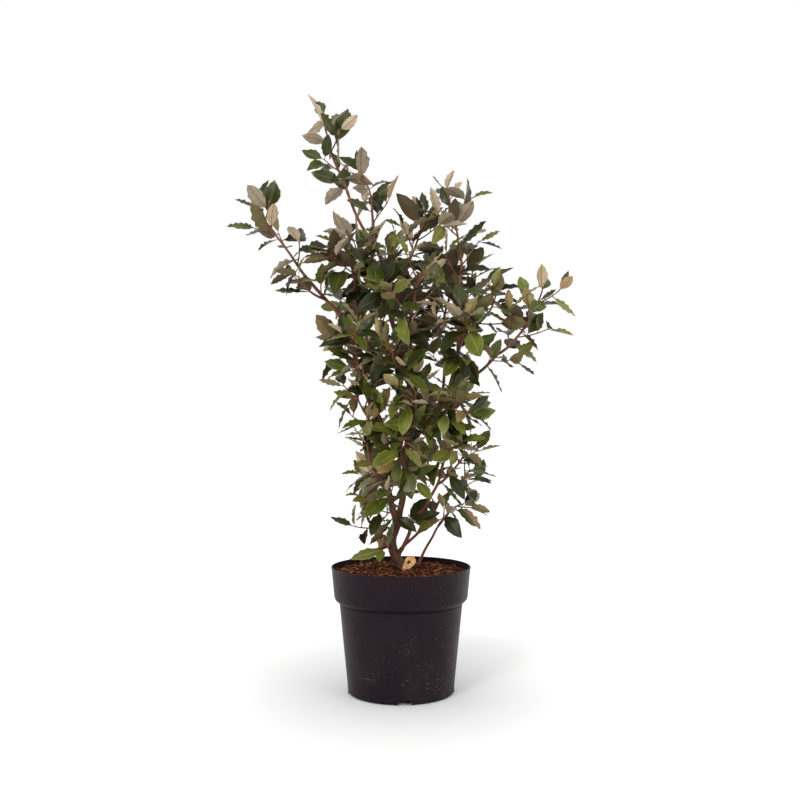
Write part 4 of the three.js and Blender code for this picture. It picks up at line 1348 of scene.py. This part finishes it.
class SHRUB_OT_soil(bpy.types.Operator):
    """Makes the root ball with its mound of compost"""
    bl_idname = "shrub.soil"
    bl_label = "Soil"

    def execute(self, context):
        s, pot = context.scene.shrub_soil, context.scene.shrub_pot
        inset = pot.wall + GAP
        wall_foot = pot.height - pot.collar_depth
        edge = SOIL_TOP.x
        top = []
        for n in range(SOIL_RINGS + 1):
            radius = edge * (1 - n / SOIL_RINGS)
            rise = smooth_step(edge - radius, 0, edge - MOUND) ** MOUND_POWER
            top.append((radius, mix(s.edge_height, SOIL_TOP.z - s.roughness, rise)))
        profile = [
            (0, inset),
            (pot.foot_radius - inset, inset),
            (pot.foot_radius - inset, pot.foot_band),
            (pot.body_radius - inset, wall_foot - pot.shoulder_drop + inset),
            *top,
        ]
        ball = lathe("soil_ball", [Vector(p) for p in profile], SOIL_SIDES)
        for vertex in ball.data.vertices:
            x, y, z = vertex.co
            out = math.hypot(x, y)
            if z > s.edge_height - NEAR and out < edge - NEAR:
                vertex.co.z += soil_height(x, y, s.roughness) * smooth_step(edge - out, 0, SOIL_BLEND)
        ball = carved("soil_mound", ball, cut=channel_covers(pot, GAP))
        sharpen(ball, SOIL_CREASE)
        ball.data.materials.clear()
        ball.data.materials.append(mottled("compost", "compost", s.dark, s.wet))
        hand_over(ball, "soil", "soil")
        return {"FINISHED"}


@cache
def litter_tree():
    """Bits strewn over the upper side of a surface, more or less flat, in many sizes."""
    wiring, given, result = geometry_tree(
        "Litter", Bit="Object", Density="Float", Seed="Int", Smallest="Float", Largest="Float", Tilt="Float",
        Lowest="Float", Reach="Float", Skin="Material")
    place = wiring.geometry("InputPosition")
    level = wiring.vector("MULTIPLY", place, (1.0, 1.0, 0.0))
    high = wiring.math("GREATER_THAN", wiring.split(place)["Z"], given["Lowest"])
    near = wiring.math("LESS_THAN", wiring.vector("LENGTH", level), given["Reach"])
    points = wiring.geometry("DistributePointsOnFaces", {
        "Mesh": given["Geometry"], "Selection": wiring.times(high, near), "Density": given["Density"],
        "Seed": given["Seed"]})
    back = wiring.times(given["Tilt"], -1.0)
    turn = wiring.add("FunctionNodeRandomValue", {
        "Min": wiring.join(back, back, 0.0),
        "Max": wiring.join(given["Tilt"], given["Tilt"], TURN),
        "Seed": given["Seed"]}, data_type="FLOAT_VECTOR")
    spread = wiring.add("FunctionNodeRandomValue", {
        "Min": 0.0, "Max": 1.0, "Seed": wiring.math("ADD", given["Seed"], 1.0)}, data_type="FLOAT")
    size = wiring.between(wiring.math("POWER", spread, 2.2), 0.0, 1.0, given["Smallest"], given["Largest"])
    shape = wiring.geometry("ObjectInfo", {"Object": given["Bit"], "As Instance": True})
    bits = wiring.geometry("InstanceOnPoints", {
        "Points": points, "Instance": shape.outputs["Geometry"], "Rotation": turn, "Scale": size})
    return wiring.finish(result, bits, given["Skin"])


CHIP_CORNERS = 5
CHIP_ENDS = (0.12, 0.88)  # the part of a half wave that gives a chip its thickness from end to end
CHIP_FAT, CHIP_ROUGH = (0.75, 0.5), (0.8, 0.4)  # how a ring and a corner vary in size
CHIP_SAG, CHIP_SLIP = 0.16, 0.06  # how far a ring may sag, and a corner slip along the chip


def chip_shape(name, rings, width, thickness, seed):
    """An uneven splinter of unit length along X: rings of corners, closed at both ends."""
    draw = seeded(seed)
    points, corners = [], CHIP_CORNERS
    for n in range(rings):
        part = n / (rings - 1)
        fat = math.sin(math.pi * mix(*CHIP_ENDS, part)) * vary(CHIP_FAT, draw())
        sag = CHIP_SAG * (draw() - 0.5)
        for corner in range(corners):
            angle = TURN * corner / corners
            points.append(Vector((
                part - 0.5 + CHIP_SLIP * (draw() - 0.5),
                width * fat * math.cos(angle) * vary(CHIP_ROUGH, draw()) + sag * width * 2,
                thickness * fat * math.sin(angle) + sag * 0.5)))
    faces = [tuple(range(corners)), tuple(range(len(points) - 1, len(points) - corners - 1, -1))]
    for n in range(rings - 1):
        for corner in range(corners):
            here, beside = n * corners + corner, n * corners + (corner + 1) % corners
            faces.append((here, here + corners, beside + corners, beside))
    return mesh_object(name, points, faces, smooth=False)


# What lies on the compost: rings, width and thickness of a bit of unit length, its number and colour in the
# soil's settings, least and greatest length, and how far it may tilt.
Litter = namedtuple("Litter", "rings width thickness number colour smallest largest tilt")
LITTER = {
    "crumbs": Litter(4, 0.34, 0.28, "crumbs", "dark", 0.0015, 0.0062, 0.9),
    "bark_chips": Litter(4, 0.2, 0.1, "chips", "red", 0.0025, 0.0165, 0.7),
    "straw_chips": Litter(4, 0.14, 0.07, "fibres", "straw", 0.0025, 0.0125, 0.6),
    "fibres": Litter(6, 0.05, 0.04, "fibres", "straw", 0.006, 0.021, 0.45),
}
BIT_SEED, STREWING_SEED = 11, 3  # of the first kind of litter; each kind takes the next
EDGE_SAG = 0.0015  # how far under the soil's edge litter may still lie
KEPT_IN = 0.55  # share of its greatest length that a bit keeps from the wall


class SHRUB_OT_litter(bpy.types.Operator):
    """Strews crumbs, bark chips and pale fibres over the compost"""
    bl_idname = "shrub.litter"
    bl_label = "Crumbs and chips"

    def execute(self, context):
        s = context.scene.shrub_soil
        for n, (name, kind) in enumerate(LITTER.items()):
            bit = chip_shape(f"{name}_bit", kind.rings, kind.width, kind.thickness, BIT_SEED + n)
            ground = linked(f"{name}_ground", bpy.data.objects["soil_mound"].data.copy())
            main = getattr(s, kind.colour)
            values = {
                "Bit": bit, "Density": float(getattr(s, kind.number)), "Seed": STREWING_SEED + n,
                "Smallest": kind.smallest, "Largest": kind.largest, "Tilt": kind.tilt,
                "Lowest": s.edge_height - EDGE_SAG, "Reach": SOIL_TOP.x - KEPT_IN * kind.largest,
                "Skin": mottled(name, "litter", main, darker(main, 0.45)),
            }
            made = grown(name, ground, litter_tree(), values)
            bpy.data.objects.remove(bit)
            hand_over(made, "soil")
        return {"FINISHED"}


STUB_SIDES, STUB_RINGS = 28, 12
STUB_SLANT = 1.15  # how far the cut leans to the front from square to the stub
STUB_DEPTH = 3  # how far it runs on below the soil
STUB_TAPER = 1.5  # above 1, it widens most near its cut end
BARK_UNEVEN = 0.12
CUT_RADIUS = 0.86  # of the bare face, over the stub's
CUT_RISE, PITH_RISE = 0.2, 0.1  # how far the face and the mouth of its hollow stand out
PITH_RADIUS, PITH_TAPER, PITH_ASIDE = 2.3, 0.7, Vector((-1.5, 0, 0))
PITH_BOTTOM = Vector((0, 2.45, -1.75))  # from the hollow's mouth to its bottom


class SHRUB_OT_stub(bpy.types.Operator):
    """Makes the bare stub of a cut stem with its hollow pith"""
    bl_idname = "shrub.stub"
    bl_label = "Cut stub"

    def execute(self, context):
        s = context.scene.shrub_bark
        foot, tip = Vector((*STUB_FOOT, SOIL_LEVEL - STUB_DEPTH)), Vector(STUB_TIP)
        axis = (tip - foot).normalized()
        across = axis.cross(Vector((0, 1, 0))).normalized() * -1
        over = axis.cross(across)
        points = []

        def ring(centre, radius, lean, rough=0.0):
            for n in range(STUB_SIDES):
                angle = TURN * n / STUB_SIDES
                reach = radius * (1 + rough * (math.sin(3 * angle + 1) * 0.5 + math.sin(5 * angle) * 0.3))
                aside = across * (reach * math.cos(angle)) + over * (reach * math.sin(angle))
                points.append(centre + aside + axis * (lean * (aside.y + 0.25 * aside.x)))

        for n in range(STUB_RINGS):
            part = n / (STUB_RINGS - 1)
            girth = mix(*STUB_RADIUS, part ** STUB_TAPER)
            ring(foot.lerp(tip, part), girth, STUB_SLANT * part ** 2, BARK_UNEVEN)
        ring(tip + axis * CUT_RISE, STUB_RADIUS[1] * CUT_RADIUS, STUB_SLANT, BARK_UNEVEN)
        ring(tip + PITH_ASIDE + axis * PITH_RISE, PITH_RADIUS, STUB_SLANT)
        ring(tip + PITH_ASIDE + PITH_BOTTOM, PITH_RADIUS * PITH_TAPER, STUB_SLANT)
        faces = [tuple(range(STUB_SIDES))]
        for n in range(STUB_RINGS + 2):
            for side in range(STUB_SIDES):
                here, beside = n * STUB_SIDES + side, n * STUB_SIDES + (side + 1) % STUB_SIDES
                faces.append((here, here + STUB_SIDES, beside + STUB_SIDES, beside))
        faces.append(tuple(range(len(points) - 1, len(points) - STUB_SIDES - 1, -1)))
        stub = mesh_object("cut_stub_wood", [p * MM for p in points], faces)
        sharpen(stub, STUB_CREASE)
        stub.data.materials.append(mottled("cut_wood", "cut_wood", s.cut, s.grain))
        stub.data.materials.append(mottled("pith", "pith", s.pith, s.hollow))
        first_pith = 1 + (STUB_RINGS + 1) * STUB_SIDES
        slots = [int(n >= first_pith) for n in range(len(stub.data.polygons))]
        stub.data.polygons.foreach_set("material_index", slots)
        hand_over(stub, "cut_wood", "cut_stub")
        return {"FINISHED"}


# Stage

FLOOR_REACH = 12
# SHADE_MIDDLE, SHADE_SHAPE and SHADE_EDGE place the painted shade on the floor.
SHADE_MIDDLE, SHADE_SHAPE = (0.0, 0.30, 0.0), (1.0, 0.45, 1.0)  # a long patch that starts at the pot
SHADE_EDGE, FADE_EDGE = (0.12, 0.30), (0.16, 0.55)
AIM = Vector((0, 0, 0.70))
LAMPS = {"key": ((-1.2, -2.1, 1.8), 2.6), "fill": ((1.9, -1.7, 1.2), 1.2)}  # the place and the power of each
LAMP_SIZE, LAMP_SPREAD = 1.2, 26  # gridded boxes, so the crown is lit and the floor keeps its shadow
SENSOR, LENS = 36, 49.0


def floor_material(settings):
    """Matt and pale, with a faint mottle. A soft shade is painted into its colour round and behind the pot,
    and away from it the floor glows a little, so that it fades into the white of the studio."""
    def paint(wiring, place):
        clouds = wiring.group(mottle, Vector=place, Colour=settings.floor, Other=darker(settings.floor, 0.99),
                              Scale=3.0, Spread=0.2)
        patch = wiring.vector("MULTIPLY", wiring.vector("SUBTRACT", place, SHADE_MIDDLE), SHADE_SHAPE)
        # painted shade: the floor's colour darkens in a soft patch round and behind the pot
        shade = wiring.between(wiring.vector("LENGTH", patch), *SHADE_EDGE, settings.shade, 0.0)
        # painted light: the floor glows more the farther it lies from the pot
        fade = wiring.between(wiring.vector("LENGTH", place), *FADE_EDGE, 0.0, settings.fade)
        return {
            "Base Color": wiring.blend(shade, clouds.outputs["Colour"], (0.0, 0.0, 0.0)),
            "Roughness": wiring.between(clouds.outputs["Grain"], *NOISE_SPAN, 0.85, 0.95),
            "Specular IOR Level": 0.1,
            "Emission Color": (1, 1, 1),
            "Emission Strength": fade,
        }
    return material("floor", paint)


class SHRUB_OT_stage(bpy.types.Operator):
    """Sets the pale floor, the soft studio lights and the camera"""
    bl_idname = "shrub.stage"
    bl_label = "Stage"

    def execute(self, context):
        s, scene = context.scene.shrub_stage, context.scene
        corners = [(x * FLOOR_REACH, y * FLOOR_REACH, 0) for x, y in ((-1, -1), (1, -1), (1, 1), (-1, 1))]
        floor = mesh_object("floor", corners, [(0, 1, 2, 3)])
        floor.data.materials.append(floor_material(s))
        scene.world = bpy.data.worlds.new("studio")
        scene.world.use_nodes = True
        sky = scene.world.node_tree.nodes["Background"].inputs
        sky["Color"].default_value = (1, 1, 1, 1)
        sky["Strength"].default_value = 1.0
        scene.view_settings.view_transform = "Standard"
        for name, (place, power) in LAMPS.items():
            lamp = bpy.data.lights.new(name, "AREA")
            lamp.shape, lamp.size, lamp.energy = "SQUARE", LAMP_SIZE, power
            lamp.spread = math.radians(LAMP_SPREAD)
            light = linked(name, lamp)
            light.location = place
            light.rotation_euler = (AIM - Vector(place)).to_track_quat("-Z", "Y").to_euler()
        lens = bpy.data.cameras.new("camera")
        lens.sensor_width, lens.lens = SENSOR, LENS
        camera = linked("camera", lens)
        camera.location = (-s.aside, -s.distance, s.eye)
        camera.rotation_euler = (math.radians(90), 0, 0)
        scene.camera = camera
        return {"FINISHED"}


class SHRUB_PT_panel(bpy.types.Panel):
    """Buttons for the pieces, and their sizes and colours"""
    bl_idname = "SHRUB_PT_panel"
    bl_label = "Potted Silverberry"
    bl_space_type = "VIEW_3D"
    bl_region_type = "UI"
    bl_category = "Silverberry"

    def draw(self, context):
        for operator in OPERATORS:
            self.layout.operator(operator.bl_idname)
        for name, group in SETTINGS.items():
            box = self.layout.box()
            for field in group.__annotations__:
                box.prop(getattr(context.scene, name), field)


SETTINGS = {
    "shrub_pot": PotSettings,
    "shrub_soil": SoilSettings,
    "shrub_bark": BarkSettings,
    "shrub_leaf": LeafSettings,
    "shrub_stage": StageSettings,
}
OPERATORS = (SHRUB_OT_stage, SHRUB_OT_pot, SHRUB_OT_soil, SHRUB_OT_litter, SHRUB_OT_limbs, SHRUB_OT_stub,
             SHRUB_OT_twigs, SHRUB_OT_leaves)


def register():
    for item in (*SETTINGS.values(), *OPERATORS, SHRUB_PT_panel):
        bpy.utils.register_class(item)
    for name, group in SETTINGS.items():
        setattr(bpy.types.Scene, name, bpy.props.PointerProperty(type=group))


def unregister():
    for name in SETTINGS:
        delattr(bpy.types.Scene, name)
    for item in (SHRUB_PT_panel, *reversed(OPERATORS), *reversed(SETTINGS.values())):
        bpy.utils.unregister_class(item)


def main():
    """Registers the add-on and makes every piece in turn."""
    register()
    bpy.ops.shrub.stage()
    bpy.ops.shrub.pot()
    bpy.ops.shrub.soil()
    bpy.ops.shrub.litter()
    bpy.ops.shrub.limbs()
    bpy.ops.shrub.stub()
    bpy.ops.shrub.twigs()
    bpy.ops.shrub.leaves()
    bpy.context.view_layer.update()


if __name__ == "__main__":
    main()
